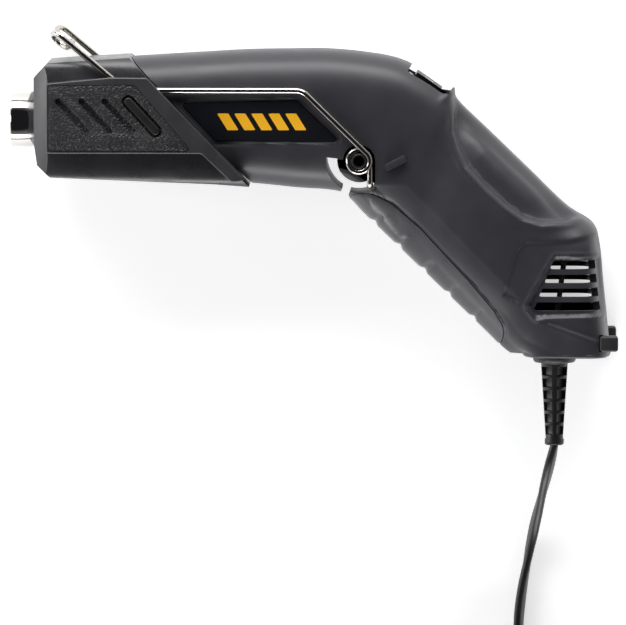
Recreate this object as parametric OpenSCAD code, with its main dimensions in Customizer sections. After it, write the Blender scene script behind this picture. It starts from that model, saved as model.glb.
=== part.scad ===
// Corded craft heat gun with a swing-out wire stand, lying on its right side.
// Tool frame: x runs along the barrel from the nozzle (-x) to the rear, y is up when the
// tool is held, z = 0 is the joint between the two housing halves, +z is its left side.
// seated() moves the tool frame to the model's frame, where the tool lies on its right side.

/* [Barrel] */
// Height of the barrel where it meets the bend
barrel_h = 49; // [44:0.5:59]
// Width of the barrel across its two sides
barrel_w = 36; // [30:0.5:44]
// Distance from the barrel's front seam, at its top, to the elbow
barrel_len = 84; // [76:1:102]

/* [Handle] */
// How far the handle's sides and the collar's panels stand out from the barrel's sides
side_step = 4; // [3.8:0.1:5]
// Thickness of the handle from its back to the front of the grip
handle_t = 51; // [48:0.5:61]
// Slope of the handle below the barrel axis
handle_angle = 44; // [40:1:50]
// How far the rear face stands behind the elbow
handle_reach = 83; // [80:1:96]
// How far the base of the handle lies below the barrel axis
handle_drop = 82; // [79:1:96]

/* [Moulding] */
// Wall of the housing halves
wall = 2.2; // [1.8:0.1:2.6]
// Gap between pieces that slide or drop into each other
fit_gap = 0.3; // [0.2:0.05:0.5]
// Thickness of the soft grip pads
pad_t = 1.2; // [0.8:0.1:1.4]
// Thickness of the name plates
plate_t = 0.8; // [0.5:0.1:1.0]

/* [Nozzle and heater] */
// Outer diameter of the nozzle tube
nozzle_d = 19.6; // [16:0.2:22]
// Length of nozzle tube that stands out of the collar
nozzle_out = 8.5; // [6:0.5:20]
// Sheet thickness of the nozzle tube
nozzle_wall = 0.6; // [0.4:0.1:1.2]
// Length of the heating element's mica cross
mica_len = 50; // [36:1:56]

/* [Stand] */
// Diameter of the stand's wire
wire_d = 2.1; // [1.8:0.1:2.4]
// Mean radius of the wire's coil round its pivot bush
coil_r = 3.75; // [3.5:0.05:4]
// Distance of the wire's crossbar from the pivot
crank_r = 9.6; // [9.4:0.1:10]
// Angle that the stand swings through
swing = 109; // [90:1:112]
// Mean radius of the eyes at the wire's two ends
eye_r = 3.5; // [3:0.1:4.5]
// Running clearance of the coil on its bush
run_gap = 0.05; // [0.03:0.01:0.1]

/* [Switch] */
// Long side of the rocker switch's bezel
bezel_l = 21; // [20:0.5:22]
// Short side of the rocker switch's bezel
bezel_s = 15; // [14:0.5:16]
// Tilt of the rocker to either side
rocker_tilt = 10; // [6:1:12]

/* [Fan] */
// Diameter of the motor's can
motor_d = 24; // [20:0.5:26]
// Length of the motor's can
motor_len = 30; // [24:1:32]
// Diameter of the fan wheel
fan_d = 36; // [30:0.5:37]
// Diameter of the motor shaft
shaft_d = 2; // [1.5:0.1:3]

/* [Vents] */
// Number of air slots in each side
vent_count = 4; // [3:1:4]
// Height of one air slot
vent_h = 2.9; // [2.2:0.1:3.2]
// Distance from one air slot to the next
vent_pitch = 4.8; // [4.4:0.1:5]

/* [Cord] */
// Width of the flat twin cord
cord_w = 5.4; // [5:0.1:6]
// Thickness of the flat twin cord
cord_t = 2.8; // [2.6:0.1:3]
// Length of the strain relief outside the housing
relief_len = 32; // [26:1:40]
// Mean radius of the stored cord's coil
store_r = 30; // [28:1:34]

/* [Hidden] */
$fn = 48;

barrel_half = barrel_w / 2;
half_w = barrel_half + side_step;
bh = barrel_h / 2;
ht = handle_t / 2;
wire_r = wire_d / 2;
// The wire's outer runs lie just clear of the barrel's sides
wire_z = barrel_half + wire_r + 0.45;

// Key places in the tool frame
elbow_x = 21;
seam_x = elbow_x - barrel_len;
collar_front = seam_x - 34;
nozzle_tip = collar_front - nozzle_out;
rear_x = elbow_x + handle_reach;
base_y = -handle_drop;
pivot = [elbow_x - 4.7, -13.3];
relief_x = rear_x - 19.5;
relief_end = base_y - relief_len;

// Rear feet, which stand out behind the housing
foot_half = 3.2;
FOOT_ROUND = 1.2;
FOOT_DEPTH = 4.9;
foot_at = [rear_x - 0.8, base_y + 5.3];

// The wire's long run, its arm and the eye that leans inwards at its end
run_y = 11.2;
corner_b = [seam_x - 1.6, run_y];
arm_a = 140;
arm_len = 28.6;
arm_end = corner_b + arm_len * [cos(arm_a), sin(arm_a)];
eye_lean = 68;
eye_sink = cos(arm_a) * cos(eye_lean);
eye_top = arm_end[1] + eye_r * (norm([sin(arm_a), eye_sink]) + eye_sink) + wire_r;

// The model's origin is at the bottom centre of its box, without the cord
seat_x = -(nozzle_tip + foot_at[0] + foot_half) / 2;
seat_y = -(eye_top + relief_end) / 2;

// Moves the tool frame to the model's frame
module seated() {
    translate([seat_x, seat_y, half_w]) children();
}

// A point in the handle: s along it from the elbow, t towards its back
function hp(s, t) = [
    elbow_x + s * cos(handle_angle) + t * sin(handle_angle),
    t * cos(handle_angle) - s * sin(handle_angle)
];

// Stations of the body: crown point, belly point, half width, squareness of the section
stations = [
    [[seam_x - 3, bh - 2.6], [seam_x - 3, 4.2 - bh], barrel_half, 3],
    [[seam_x + 23, bh - 1], [seam_x + 23, 3 - bh], barrel_half, 3],
    [[seam_x + 41, bh], [seam_x + 41, 2.5 - bh], barrel_half, 3],
    [[elbow_x - 26, bh + 0.3], [elbow_x - 26, 0.9 - bh], barrel_half, 3],
    [[elbow_x - 16, bh + 0.3], [elbow_x - 16.5, 0.3 - bh], barrel_half, 3],
    [[elbow_x - 4, bh - 0.7], [elbow_x - 11, -bh - 0.7], barrel_half, 3],
    [[elbow_x + 8, bh - 2.8], [elbow_x - 7.5, -bh - 3.3], barrel_half, 3],
    [[elbow_x + 17, bh - 6.8], hp(20, -ht), barrel_half, 3],
    [[elbow_x + 26.5, bh - 13], hp(29, -ht), barrel_half, 2.9],
    [hp(17.7, ht), hp(40, -ht), barrel_half, 2.8],
    [hp(32, ht), hp(54.5, -ht), half_w - 1.4, 2.8],
    [hp(50, ht), hp(68, -ht), half_w, 2.8],
    [hp(69, ht), hp(81, -ht), half_w, 3],
    [[rear_x - 6.3, base_y + 46], hp(86.5, -ht), half_w, 3.4],
    [[rear_x - 3.8, base_y + 39], [rear_x - 35.3, base_y + 1.1], half_w, 3.8],
    [[rear_x - 2.5, base_y + 25.7], [rear_x - 32.8, base_y + 0.3], half_w, 4.2],
    [[rear_x - 1.1, base_y + 12.2], [rear_x - 31.5, base_y + 0.05], half_w, 4.4],
    [[rear_x, base_y], [rear_x - 30.8, base_y], half_w, 4.4]
];
SPAN_STEPS = 2;
RING_POINTS = 28;
MOULD_FACETS = 20;

// Catmull-Rom blend of four values, with f from 0 to 1 between b and c
function blend(a, b, c, d, f) =
    b + 0.5 * f * ((c - a) + f * ((2 * a - 5 * b + 4 * c - d) + f * (3 * (b - c) + d - a)));

// One item of a list of stations, smoothed between its neighbours
function smooth_item(list, k, f, item) =
    let (last = len(list) - 1)
    blend(
        list[max(k - 1, 0)][item],
        list[k][item],
        list[min(k + 1, last)][item],
        list[min(k + 2, last)][item],
        f
    );

// Point of a section at angle a: along the crown-belly line, and out to the side
function section_point(crown, belly, w, n, inset, a) =
    let (
        mid = (crown + belly) / 2,
        reach = norm(crown - belly) / 2 - inset,
        dir = (crown - belly) / norm(crown - belly),
        along = reach * sign(cos(a)) * pow(abs(cos(a)), 2 / n),
        out = (w - inset) * sign(sin(a)) * pow(abs(sin(a)), 2 / n)
    )
    [mid[0] + dir[0] * along, mid[1] + dir[1] * along, out];

function ring(k, f, inset) = [
    for (i = [0 : RING_POINTS - 1])
        section_point(
            smooth_item(stations, k, f, 0),
            smooth_item(stations, k, f, 1),
            smooth_item(stations, k, f, 2),
            smooth_item(stations, k, f, 3),
            inset,
            (i + 0.5) * 360 / RING_POINTS
        )
];

// A closed skin through rings of equal length
module skin(rings) {
    n = len(rings[0]);
    m = len(rings);
    points = [for (r = rings) each r];
    sides = [
        for (j = [0 : m - 2], i = [0 : n - 1])
            [j * n + i, (j + 1) * n + i, (j + 1) * n + (i + 1) % n, j * n + (i + 1) % n]
    ];
    first = [for (i = [0 : n - 1]) i];
    last = [for (i = [n - 1 : -1 : 0]) (m - 1) * n + i];
    polyhedron(points = points, faces = concat(sides, [first], [last]), convexity = 8);
}

// The whole body as a solid, drawn in from its outer surface by inset
module body_solid(inset = 0) {
    spans = len(stations) - 1;
    rings = concat(
        [for (k = [0 : spans - 1], j = [0 : SPAN_STEPS - 1]) ring(k, j / SPAN_STEPS, inset)],
        [ring(spans - 1, 1, inset)]
    );
    intersection() {
        skin(rings);
        translate([-150, base_y + inset, -40]) cube([300, 200, 80]);
    }
}

// A moulding is one continuous skin, evaluated as a single mesh
module moulded() {
    $fn = MOULD_FACETS;
    resize([0, 0, 0]) children();
}

// Keeps the left half of its children
module left_half() {
    intersection() {
        children();
        translate([-150, -150, 0]) cube([300, 300, 60]);
    }
}

// Everything behind the slanting front seam, moved back by gap
module behind_seam(gap = 0) {
    translate([seam_x + gap, 22, -40])
        linear_extrude(80)
            polygon([[0, 0], [-10, 10.4], [200, 10.4], [200, -140], [134.6, -140]]);
}

// Wedge of a circle from angle a0 round to angle a1
module wedge(r, a0, a1) {
    STEPS = 12;
    polygon(concat([[0, 0]], [
        for (i = [0 : STEPS])
            let (a = a0 + (a1 - a0) * i / STEPS) r * [cos(a), sin(a)]
    ]));
}

/* Stand geometry */
// The crossbar lies straight below the coil's rear edge when the stand is folded away
crank_a = -acos(coil_r / crank_r);
diag_slope = 44.3;
diag_a = 90 - diag_slope;
slot_half = 2;
slot_in = crank_r - slot_half;
slot_out = crank_r + slot_half;
slot_margin = 10;
slot_start = crank_a + slot_margin;
slot_stop = crank_a - swing - slot_margin;
well_floor = wire_z - 3 * wire_r - 0.45;
leg_z = wire_z - wire_d - 0.25;
boss_r = slot_in;
// Foot of the stand's diagonal on the coil, and its corner with the long run
diag_dir = [-cos(diag_slope), sin(diag_slope)];
diag_foot = pivot + coil_r * [cos(diag_a), sin(diag_a)];
diag_len = (run_y - diag_foot[1]) / diag_dir[1];
corner_a = diag_foot + diag_len * diag_dir;

// The curved slot that the stand's crossbar travels in, widened by extra
module slot_shape(extra = 0) {
    translate(pivot) {
        offset(delta = extra)
            intersection() {
                difference() {
                    circle(slot_out);
                    circle(slot_in);
                }
                wedge(40, slot_start, slot_stop);
            }
    }
}

// Way in for the crossbar, from the slot to the underside of the barrel
module slot_mouth(extra = 0) {
    translate(pivot)
        rotate(-113)
            translate([slot_in + 1, -1.4 - extra]) square([12, 2.8 + 2 * extra]);
}

// The stepped-down area round the coil, the leg and the slot
module well_shape(extra = 0) {
    translate(pivot) {
        circle(coil_r + wire_r + 0.8 + extra);
        wedge(slot_out + 0.2 + extra, slot_start - 2 + extra, slot_stop + 2 - extra);
        translate([coil_r - wire_r - 0.6 - extra, -crank_r])
            square([wire_d + 1.2 + 2 * extra, crank_r]);
    }
}

/* Switch geometry */
switch_slope = 35;
switch_at = [elbow_x + 17.7, 10.9];

// Puts its children on the switch's panel: x down the slope, y across the body, z outwards
module on_switch() {
    translate([switch_at[0], switch_at[1], 0])
        rotate([0, 0, -switch_slope])
            rotate([-90, 0, 0])
                mirror([0, 1, 0]) children();
}

/* Housing features */
screw_places = [
    [seam_x + 35, bh - 6], [elbow_x - 33, 6 - bh], [elbow_x + 1, bh - 7],
    hp(44, ht - 8.5), [rear_x - 36, base_y + 8.5], [rear_x - 9.5, base_y + 37]
];
screw_boss_r = 3.2;
screw_r = 1.3;
head_r = 2.6;
head_floor = 9;

vent_low = base_y + 16.8;
vent_front = rear_x - 26;
vent_back = rear_x - 5;

// One air slot, k counted from the lowest
module vent_slot(k) {
    left = vent_front + 1.8 * k;
    right = vent_back - 0.4 * k;
    y = vent_low + vent_h / 2 + k * vent_pitch;
    hull() {
        translate([left, y]) circle(vent_h / 2);
        translate([right, y]) circle(vent_h / 2);
    }
}

module vent_field() {
    top = vent_low + (vent_count - 1) * vent_pitch + vent_h;
    offset(r = 1.2)
        offset(delta = -1.2)
            polygon([
                [vent_front - 3.5, vent_low - 0.2], [vent_front + 2.5, vent_low - 2.8],
                [vent_back + 3, vent_low - 1], [vent_back + 1.6, top + 1.6], [vent_front + 5.6, top + 1.6]
            ]);
}

// Outline of the soft grip on the front of the handle
module grip_outline(inset = 0) {
    offset(delta = -inset)
        offset(r = 3)
            offset(delta = -3)
                polygon([
                    hp(15.5, -ht - 8), hp(12, -ht + 1.5), hp(22, -ht + 9.4), hp(38, -ht + 10.5), hp(62, -ht + 9.2),
                    hp(76, -ht + 7.6), hp(86, -ht + 2), hp(86.5, -ht - 8)
                ]);
}

// Outline of the name plate on the barrel's side
module plate_outline(inset = 0) {
    offset(delta = -inset)
        offset(r = 1)
            offset(delta = -1)
                polygon([
                    [seam_x + 17, 6.8], [elbow_x - 26.3, 7.8], [elbow_x - 11, -6.6], [seam_x + 29.2, -6.4]
                ]);
}

plate_floor = barrel_half - 1;
pivot_hole_r = 2.1;
relief_groove_r = 4.2;
duct_r = nozzle_d / 2 + 5;
// Where the motor starts along the handle
motor_s = 30;
// The two supply leads: their radius, and how far back and to each side they run
lead_r = 0.8;
lead_t = ht - wall - lead_r - 1.3;
lead_z = 8;
// Bar that holds the cord: the height of its underside and the place of its screws
clamp_low = base_y + wall + 4.7;
clamp_screw_z = 9.5;
clamp_screw_r = 1;

// Barrel stub that the collar slides over
module spigot(inset = 0) {
    translate([collar_front + 8, 0, 0])
        rotate([90, 0, 90])
            linear_extrude(barrel_len - 12)
                offset(r = 8 - inset)
                    square([2 * (bh - 7.5) - 16, 2 * (barrel_half - 4) - 16], center = true);
}

// The parts of a housing half that stand in its cavity
module inner_structure() {
    // Walls round the slot, the well and the pivot
    linear_extrude(barrel_half) {
        slot_shape(1.6);
        slot_mouth(1.6);
        translate(pivot) circle(boss_r);
    }
    translate([0, 0, well_floor - wall]) linear_extrude(10) well_shape(1.6);
    // Tray that the switch snaps into
    on_switch()
        translate([-bezel_s / 2 - 2.5, -bezel_l / 2 - 2.8, -2])
            cube([bezel_s + 5, bezel_l + 5.6, 20]);
    // Screw bosses
    for (p = screw_places)
        translate([p[0], p[1], 0]) cylinder(r = screw_boss_r, h = half_w);
    // Ribs that hold the motor and the fan shroud
    for (s = [40, 56])
        translate([hp(s, 0)[0], hp(s, 0)[1], 0])
            rotate([0, 0, -handle_angle])
                translate([-0.8, -ht, 0]) cube([1.6, handle_t, half_w]);
    // Boss of the cord clamp's screw
    translate([relief_x, base_y, clamp_screw_z])
        rotate([-90, 0, 0]) cylinder(r = 2.4, h = clamp_low - base_y);
    // Rib that holds the heater
    translate([seam_x + 25.4, -bh, 0]) cube([1.6, barrel_h, barrel_half]);
}

// The left housing half; the right one is its mirror image with deep screw holes
module housing_half(is_right) {
    difference() {
        left_half() {
            difference() {
                union() {
                    intersection() {
                        body_solid();
                        behind_seam();
                    }
                    spigot();
                }
                difference() {
                    union() {
                        intersection() {
                            body_solid(wall);
                            behind_seam(2);
                        }
                        spigot(wall);
                        translate([collar_front, 0, 0])
                            rotate([0, 90, 0]) cylinder(r = nozzle_d / 2 + fit_gap, h = 20);
                    }
                    inner_structure();
                }
            }
        }
        // Bore for the motor's sleeve, and for the heater's holder
        along_handle(motor_s - 3) cylinder(r = motor_d / 2 + 2.5 + fit_gap, h = motor_len + 5);
        along_handle(motor_s + motor_len + 1) cylinder(r = fan_d / 2 + 1.7 + fit_gap, h = 18);
        translate([seam_x + 20, 0, 0])
            rotate([0, 90, 0]) cylinder(r = duct_r - 2, h = 20);
        // Way through the ribs for the supply lead
        translate([each hp(37, lead_t), lead_z])
            rotate([0, 0, -handle_angle])
                rotate([0, 90, 0]) cylinder(r = lead_r + 0.35, h = 23, $fn = 12);
        // Crossbar slot, its mouth and the well
        translate([0, 0, -1]) linear_extrude(60) {
            slot_shape();
            slot_mouth();
        }
        translate([0, 0, well_floor]) linear_extrude(20) well_shape();
        translate([pivot[0], pivot[1], -1]) cylinder(r = pivot_hole_r, h = 60);
        // Seats of the name plate and the grip pad
        translate([0, 0, plate_floor]) linear_extrude(10) plate_outline(-0.1);
        difference() {
            linear_extrude(60) grip_outline();
            body_solid(pad_t);
        }
        // Air slots in their shallow field
        difference() {
            linear_extrude(60) vent_field();
            translate([0, 0, -1]) linear_extrude(half_w + 0.2) vent_field();
        }
        translate([0, 0, half_w - 6]) linear_extrude(10)
            for (k = [0 : vent_count - 1]) vent_slot(k);
        // Recess and panel hole of the switch
        on_switch() {
            translate([-bezel_s / 2 - 0.9, -bezel_l / 2 - 1.2, 0])
                cube([bezel_s + 1.8, bezel_l + 2.4, 20]);
            translate([-bezel_s / 2 + 1, -bezel_l / 2 + 0.9, -20])
                cube([bezel_s - 2, bezel_l - 1.8, 22]);
        }
        // Cord outlet
        translate([relief_x, base_y - 1, 0])
            rotate([-90, 0, 0]) cylinder(r = relief_groove_r + 0.1, h = 8);
        translate([relief_x, base_y + wall, clamp_screw_z])
            rotate([-90, 0, 0]) cylinder(r = clamp_screw_r + 0.05, h = 10);
        // Socket of the rubber foot
        translate([foot_at[0], foot_at[1], half_w - FOOT_DEPTH - 0.1])
            linear_extrude(10) foot_outline(-0.1);
        // Screw holes
        for (p = screw_places) translate([p[0], p[1], 0]) {
            if (is_right) {
                translate([0, 0, -1]) cylinder(r = screw_r + 0.2, h = 30);
                translate([0, 0, head_floor]) cylinder(r = head_r + fit_gap, h = 30);
            } else {
                translate([0, 0, -1]) cylinder(r = screw_r + 0.05, h = 10);
            }
        }
    }
    // Stop that the stand's diagonal swings down to
    translate([pivot[0], pivot[1], 0])
        rotate([0, 0, 180 - diag_slope - swing])
            translate([7.2, -coil_r - wire_r - fit_gap - 2.4, barrel_half - 3])
                cube([7.8, 2.4, wire_z + 0.5 - barrel_half + 3]);
}

// Puts its children on the motor's axis, s along the handle from the elbow
module along_handle(s) {
    p = hp(s, 0);
    translate([p[0], p[1], 0])
        rotate([0, 0, -handle_angle])
            rotate([0, 90, 0]) children();
}

module left_housing() {
    color("dimgray") seated() moulded() housing_half(false);
}

module right_housing() {
    color("dimgray") seated() moulded() mirror([0, 0, 1]) housing_half(true);
}

// Side view of a rear foot
module foot_outline(inset = 0) {
    offset(r = FOOT_ROUND - inset)
        square([2 * (foot_half - FOOT_ROUND), 3], center = true);
}

/* Front collar */
panel_z = half_w;
panel_front = collar_front + 4.6;

// Side view of the collar's raised panel with the rim along its rear edge
module panel_outline(inset = 0) {
    offset(delta = -inset)
        polygon([
            [panel_front, 13.8], [seam_x - 7, 15.9], [seam_x + 5.6, 15.8], [seam_x + 40.3, -20.1],
            [seam_x + 35, -20.6], [seam_x + 24.5, -10.7], [panel_front, -10.7]
        ]);
}

// Side view of the collar's sleeve
module sleeve_outline() {
    polygon([
        [collar_front + 5, bh - 4], [collar_front, 15.2], [collar_front, -7.4],
        [collar_front + 1.2, -15.2], [collar_front + 5.8, 5.2 - bh], [seam_x + 28.7, 2.8 - bh],
        [seam_x + 41, 1.8 - bh], [seam_x - 0.6, bh - 2.2]
    ]);
}

// Rounded section that the sleeve and the barrel share
module barrel_section(height, width, corner) {
    offset(r = corner)
        square([height - 2 * corner, width - 2 * corner], center = true);
}

module front_collar() {
    color([0.16, 0.16, 0.17]) seated() moulded() difference() {
        union() {
            intersection() {
                translate([0, 0, -40]) linear_extrude(80) sleeve_outline();
                translate([collar_front - 2, 0, 0])
                    rotate([90, 0, 90])
                        linear_extrude(120) barrel_section(2 * bh - 1, barrel_w, 10);
                // Chamfer of the front face towards the two sides
                rotate([-90, 0, 0])
                    translate([0, 0, -40])
                        linear_extrude(80)
                            polygon([
                                [collar_front, barrel_half - 4.5], [collar_front + 5, barrel_half],
                                [20, barrel_half], [20, -barrel_half], [collar_front + 5, -barrel_half],
                                [collar_front, 4.5 - barrel_half]
                            ]);
            }
            for (side = [0, 1]) mirror([0, 0, side]) {
                translate([0, 0, barrel_half - 5]) linear_extrude(panel_z - barrel_half + 3.8)
                    panel_outline();
                translate([0, 0, panel_z - 1.3]) linear_extrude(0.7) panel_outline(0.6);
                translate([0, 0, panel_z - 0.7]) linear_extrude(0.7) panel_outline(1.3);
            }
        }
        // Bore for the barrel stub
        translate([-0.2, 0, 0]) hull() spigot(-fit_gap / 2);
        // Hole for the nozzle tube
        translate([collar_front - 5, 0, 0])
            rotate([0, 90, 0]) cylinder(r = nozzle_d / 2 + fit_gap, h = 30);
        for (side = [0, 1]) mirror([0, 0, side]) {
            // Pocket behind the panel where the stand's wire lies
            translate([seam_x - 13, run_y - wire_r - 0.4, wire_z - wire_r - 0.4])
                cube([60, 20, wire_d + 0.8]);
            // Slanting grooves in the panel
            for (k = [0 : 3])
                translate([panel_front + 4.4 + 8.1 * k, 7.5, panel_z - 1])
                    linear_extrude(3)
                        hull() {
                            circle(0.8 + (k == 3 ? 1.2 : 0));
                            translate([9.4, -10.2]) circle(0.8 + (k == 3 ? 1.2 : 0));
                        }
        }
    }
}

/* Nozzle and heater */
tube_back = seam_x + 26.9;

module nozzle_tube() {
    outer = nozzle_d / 2;
    rim = 0.6;
    // The tube is drawn down where it goes into the collar
    drawn = 0.4;
    color("silver") seated() rotate([0, 90, 0]) {
        rotate_extrude($fn = 96) {
            translate([outer - nozzle_wall - drawn, nozzle_tip + rim])
                square([nozzle_wall, tube_back - nozzle_tip - rim]);
            translate([outer - nozzle_wall, nozzle_tip + rim])
                square([nozzle_wall, nozzle_out - rim]);
            translate([outer - rim, nozzle_tip + rim]) circle(rim, $fn = 24);
        }
    }
}

module heater_holder() {
    color([0.85, 0.83, 0.78]) seated()
        translate([tube_back - 3, 0, 0]) rotate([0, 90, 0])
            difference() {
                cylinder(r = duct_r - 2 - fit_gap, h = 6);
                translate([0, 0, -1]) cylinder(r = nozzle_d / 2 + 0.05, h = 4);
                translate([0, 0, -1]) cylinder(r = nozzle_d / 2 - 1.6, h = 10);
            }
}

mica_half = nozzle_d / 2 - nozzle_wall - 1.4;
mica_start = tube_back - mica_len - 1;

module mica_sleeve() {
    color([0.72, 0.66, 0.52]) seated()
        translate([mica_start - 1, 0, 0]) rotate([0, 90, 0])
            difference() {
                cylinder(r = mica_half + 0.9, h = mica_len + 1);
                translate([0, 0, -1]) cylinder(r = mica_half + 0.3, h = mica_len + 3);
            }
}

module mica_cross() {
    color([0.78, 0.72, 0.58]) seated()
        translate([mica_start, 0, 0]) {
            translate([0, -mica_half, -0.4]) cube([mica_len, 2 * mica_half, 0.8]);
            translate([0, -0.4, -mica_half]) cube([mica_len, 0.8, 2 * mica_half]);
        }
}

COIL_TURNS = 9;

module heating_coil() {
    turn_pitch = (mica_len - 12) / (COIL_TURNS - 1);
    color([0.55, 0.5, 0.45]) seated()
        translate([mica_start + 5, 0, 0]) rotate([0, 90, 0])
            for (k = [0 : COIL_TURNS - 1])
                translate([0, 0, k * turn_pitch])
                    rotate_extrude() translate([mica_half - 1.6, 0]) circle(0.45, $fn = 16);
}

module thermal_cutout() {
    color("gainsboro") seated()
        translate([mica_start + mica_len - 6, 2.6, 0.4]) {
            cylinder(r = 2, h = 2.4);
            translate([-3.4, -0.6, 0]) cube([6.8, 1.2, 0.5]);
        }
}

/* Name plates, grip pads and feet */
module left_name_plate() {
    color([0.07, 0.07, 0.08]) seated()
        translate([0, 0, plate_floor]) linear_extrude(plate_t) plate_outline();
}

module right_name_plate() {
    color([0.07, 0.07, 0.08]) seated()
        translate([0, 0, -plate_floor - plate_t]) linear_extrude(plate_t) plate_outline();
}

module grip_pad() {
    difference() {
        intersection() {
            body_solid();
            linear_extrude(60) grip_outline(0.15);
        }
        body_solid(pad_t - 0.02);
        // Dents along the front edge of the grip
        for (k = [0 : 4]) {
            p = hp(25 + 12 * k, -ht);
            translate([p[0], p[1], 6]) sphere(r = 0.9, $fn = 16);
        }
    }
}

module left_grip_pad() {
    color([0.3, 0.3, 0.32]) seated() moulded() grip_pad();
}

module right_grip_pad() {
    color([0.3, 0.3, 0.32]) seated() moulded() mirror([0, 0, 1]) grip_pad();
}

module rear_foot() {
    translate([foot_at[0], foot_at[1], 0]) {
        translate([0, 0, half_w - FOOT_DEPTH]) linear_extrude(FOOT_DEPTH - 0.7) foot_outline();
        translate([0, 0, half_w - 0.7]) linear_extrude(0.7) foot_outline(0.5);
    }
}

module left_rear_foot() {
    color([0.1, 0.1, 0.11]) seated() rear_foot();
}

module right_rear_foot() {
    color([0.1, 0.1, 0.11]) seated() mirror([0, 0, 1]) rear_foot();
}

/* Wire stand */
WIRE_SIDES = 10;
TURN_STEPS = 32;
BEND_STEPS = 4;
EYE_STEPS = 18;
eye_span = 268;
bend_reach = 2.3;

// Points round a bend of the wire at p, on its way from a to c
function bend(a, p, c) = [
    for (i = [0 : BEND_STEPS])
        let (
            f = i / BEND_STEPS,
            start = p + bend_reach * (a - p) / norm(a - p),
            stop = p + bend_reach * (c - p) / norm(c - p)
        )
        (1 - f) * (1 - f) * start + 2 * f * (1 - f) * p + f * f * stop
];

// The coil climbs from the leg to the outer run in one turn, and ends along the diagonal
coil_turn = 360 + diag_a;
coil_points = [
    for (i = [0 : TURN_STEPS])
        let (
            a = i * coil_turn / TURN_STEPS,
            climb = min(max((a - diag_a / 2) / 360, 0), 1)
        )
        [pivot[0] + coil_r * cos(a), pivot[1] + coil_r * sin(a), leg_z + climb * (wire_z - leg_z)]
];

// The eye curls inwards at the end of the arm
eye_points = [
    for (i = [0 : EYE_STEPS])
        let (
            a = -90 + i * eye_span / EYE_STEPS,
            ahead = eye_r * cos(a),
            aside = eye_r + eye_r * sin(a),
            flat = aside * cos(eye_lean)
        )
        [
            arm_end[0] + ahead * cos(arm_a) - flat * sin(arm_a),
            arm_end[1] + ahead * sin(arm_a) + flat * cos(arm_a),
            wire_z - aside * sin(eye_lean)
        ]
];

// The wire on the left side, from the crossbar's middle to the eye
crossbar = pivot + crank_r * [cos(crank_a), sin(crank_a)];
wire_path = concat(
    [[each crossbar, 0]],
    bend([each crossbar, 0], [each crossbar, leg_z], coil_points[0]),
    coil_points,
    bend(coil_points[TURN_STEPS], [each corner_a, wire_z], [each corner_b, wire_z]),
    bend([each corner_a, wire_z], [each corner_b, wire_z], [each arm_end, wire_z]),
    eye_points
);

// Direction of a path at its point k
function path_dir(path, k) =
    let (d = path[min(k + 1, len(path) - 1)] - path[max(k - 1, 0)]) d / norm(d);

// Sideways directions along a path from point k on, carried without twist
function carried(path, k, side) =
    k == len(path) ? [] :
    let (
        along = path_dir(path, k),
        across = side - (side * along) * along,
        unit = across / norm(across)
    )
    concat([unit], carried(path, k + 1, unit));

module stand_side() {
    sides = carried(wire_path, 0, [1, 0, 0]);
    skin([
        for (k = [0 : len(wire_path) - 1])
            let (other = cross(path_dir(wire_path, k), sides[k]))
            [
                for (i = [0 : WIRE_SIDES - 1])
                    let (q = i * 360 / WIRE_SIDES)
                    wire_path[k] + wire_r * (cos(q) * sides[k] + sin(q) * other)
            ]
    ]);
}

module wire_stand() {
    color("silver") seated() moulded() {
        stand_side();
        mirror([0, 0, 1]) stand_side();
    }
}

// Black bush in the pivot, which the coil turns round
module pivot_bush() {
    translate([pivot[0], pivot[1], 0]) difference() {
        union() {
            translate([0, 0, 9]) cylinder(r = pivot_hole_r - 0.05, h = well_floor - 9);
            translate([0, 0, well_floor])
                cylinder(r = coil_r - wire_r - run_gap, h = wire_z + wire_r - 0.4 - well_floor);
        }
        translate([0, 0, wire_z - 1.5]) cylinder(r = 1.9, h = 5);
    }
}

module left_pivot_bush() {
    color([0.08, 0.08, 0.08]) seated() pivot_bush();
}

module right_pivot_bush() {
    color([0.08, 0.08, 0.08]) seated() mirror([0, 0, 1]) pivot_bush();
}

/* Rocker switch */
rocker_l = bezel_l - 5.2;
rocker_s = bezel_s - 4.4;
rocker_pin_z = 0.4;
rocker_pin_r = 0.9;
rocker_pin_half = rocker_s / 2 + 0.8;

module switch_body() {
    color([0.08, 0.08, 0.09]) seated() on_switch() difference() {
        union() {
            translate([-bezel_s / 2, -bezel_l / 2, 0]) cube([bezel_s, bezel_l, 1.6]);
            translate([-bezel_s / 2 + 1.2, -bezel_l / 2 + 1.1, -12.5])
                cube([bezel_s - 2.4, bezel_l - 2.2, 12.6]);
        }
        translate([-rocker_s / 2 - fit_gap, -rocker_l / 2 - 0.9, -6.5])
            cube([rocker_s + 2 * fit_gap, rocker_l + 1.8, 20]);
        translate([-rocker_pin_half - 0.1, 0, rocker_pin_z])
            rotate([0, 90, 0])
                cylinder(r = rocker_pin_r + run_gap, h = 2 * rocker_pin_half + 0.2);
    }
}

module switch_rocker() {
    color([0.12, 0.12, 0.13]) seated() on_switch()
        translate([0, 0, rocker_pin_z]) rotate([90, 0, 90]) {
            translate([0, 0, -rocker_s / 2])
                linear_extrude(rocker_s)
                    difference() {
                        polygon([
                            [-rocker_l / 2, 3.9], [-rocker_l / 2 + 0.9, -1.6], [0, -4],
                            [rocker_l / 2 - 0.9, -1.6], [rocker_l / 2, 3.9]
                        ]);
                        translate([0, 28.4]) circle(26, $fn = 96);
                    }
            translate([0, 0, -rocker_pin_half])
                cylinder(r = rocker_pin_r, h = 2 * rocker_pin_half);
        }
}

module switch_terminals() {
    color("gold") seated() on_switch()
        for (y = [-6, 0, 6]) translate([-1.6, y - 0.4, -19]) cube([3.2, 0.8, 6.5]);
}

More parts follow.
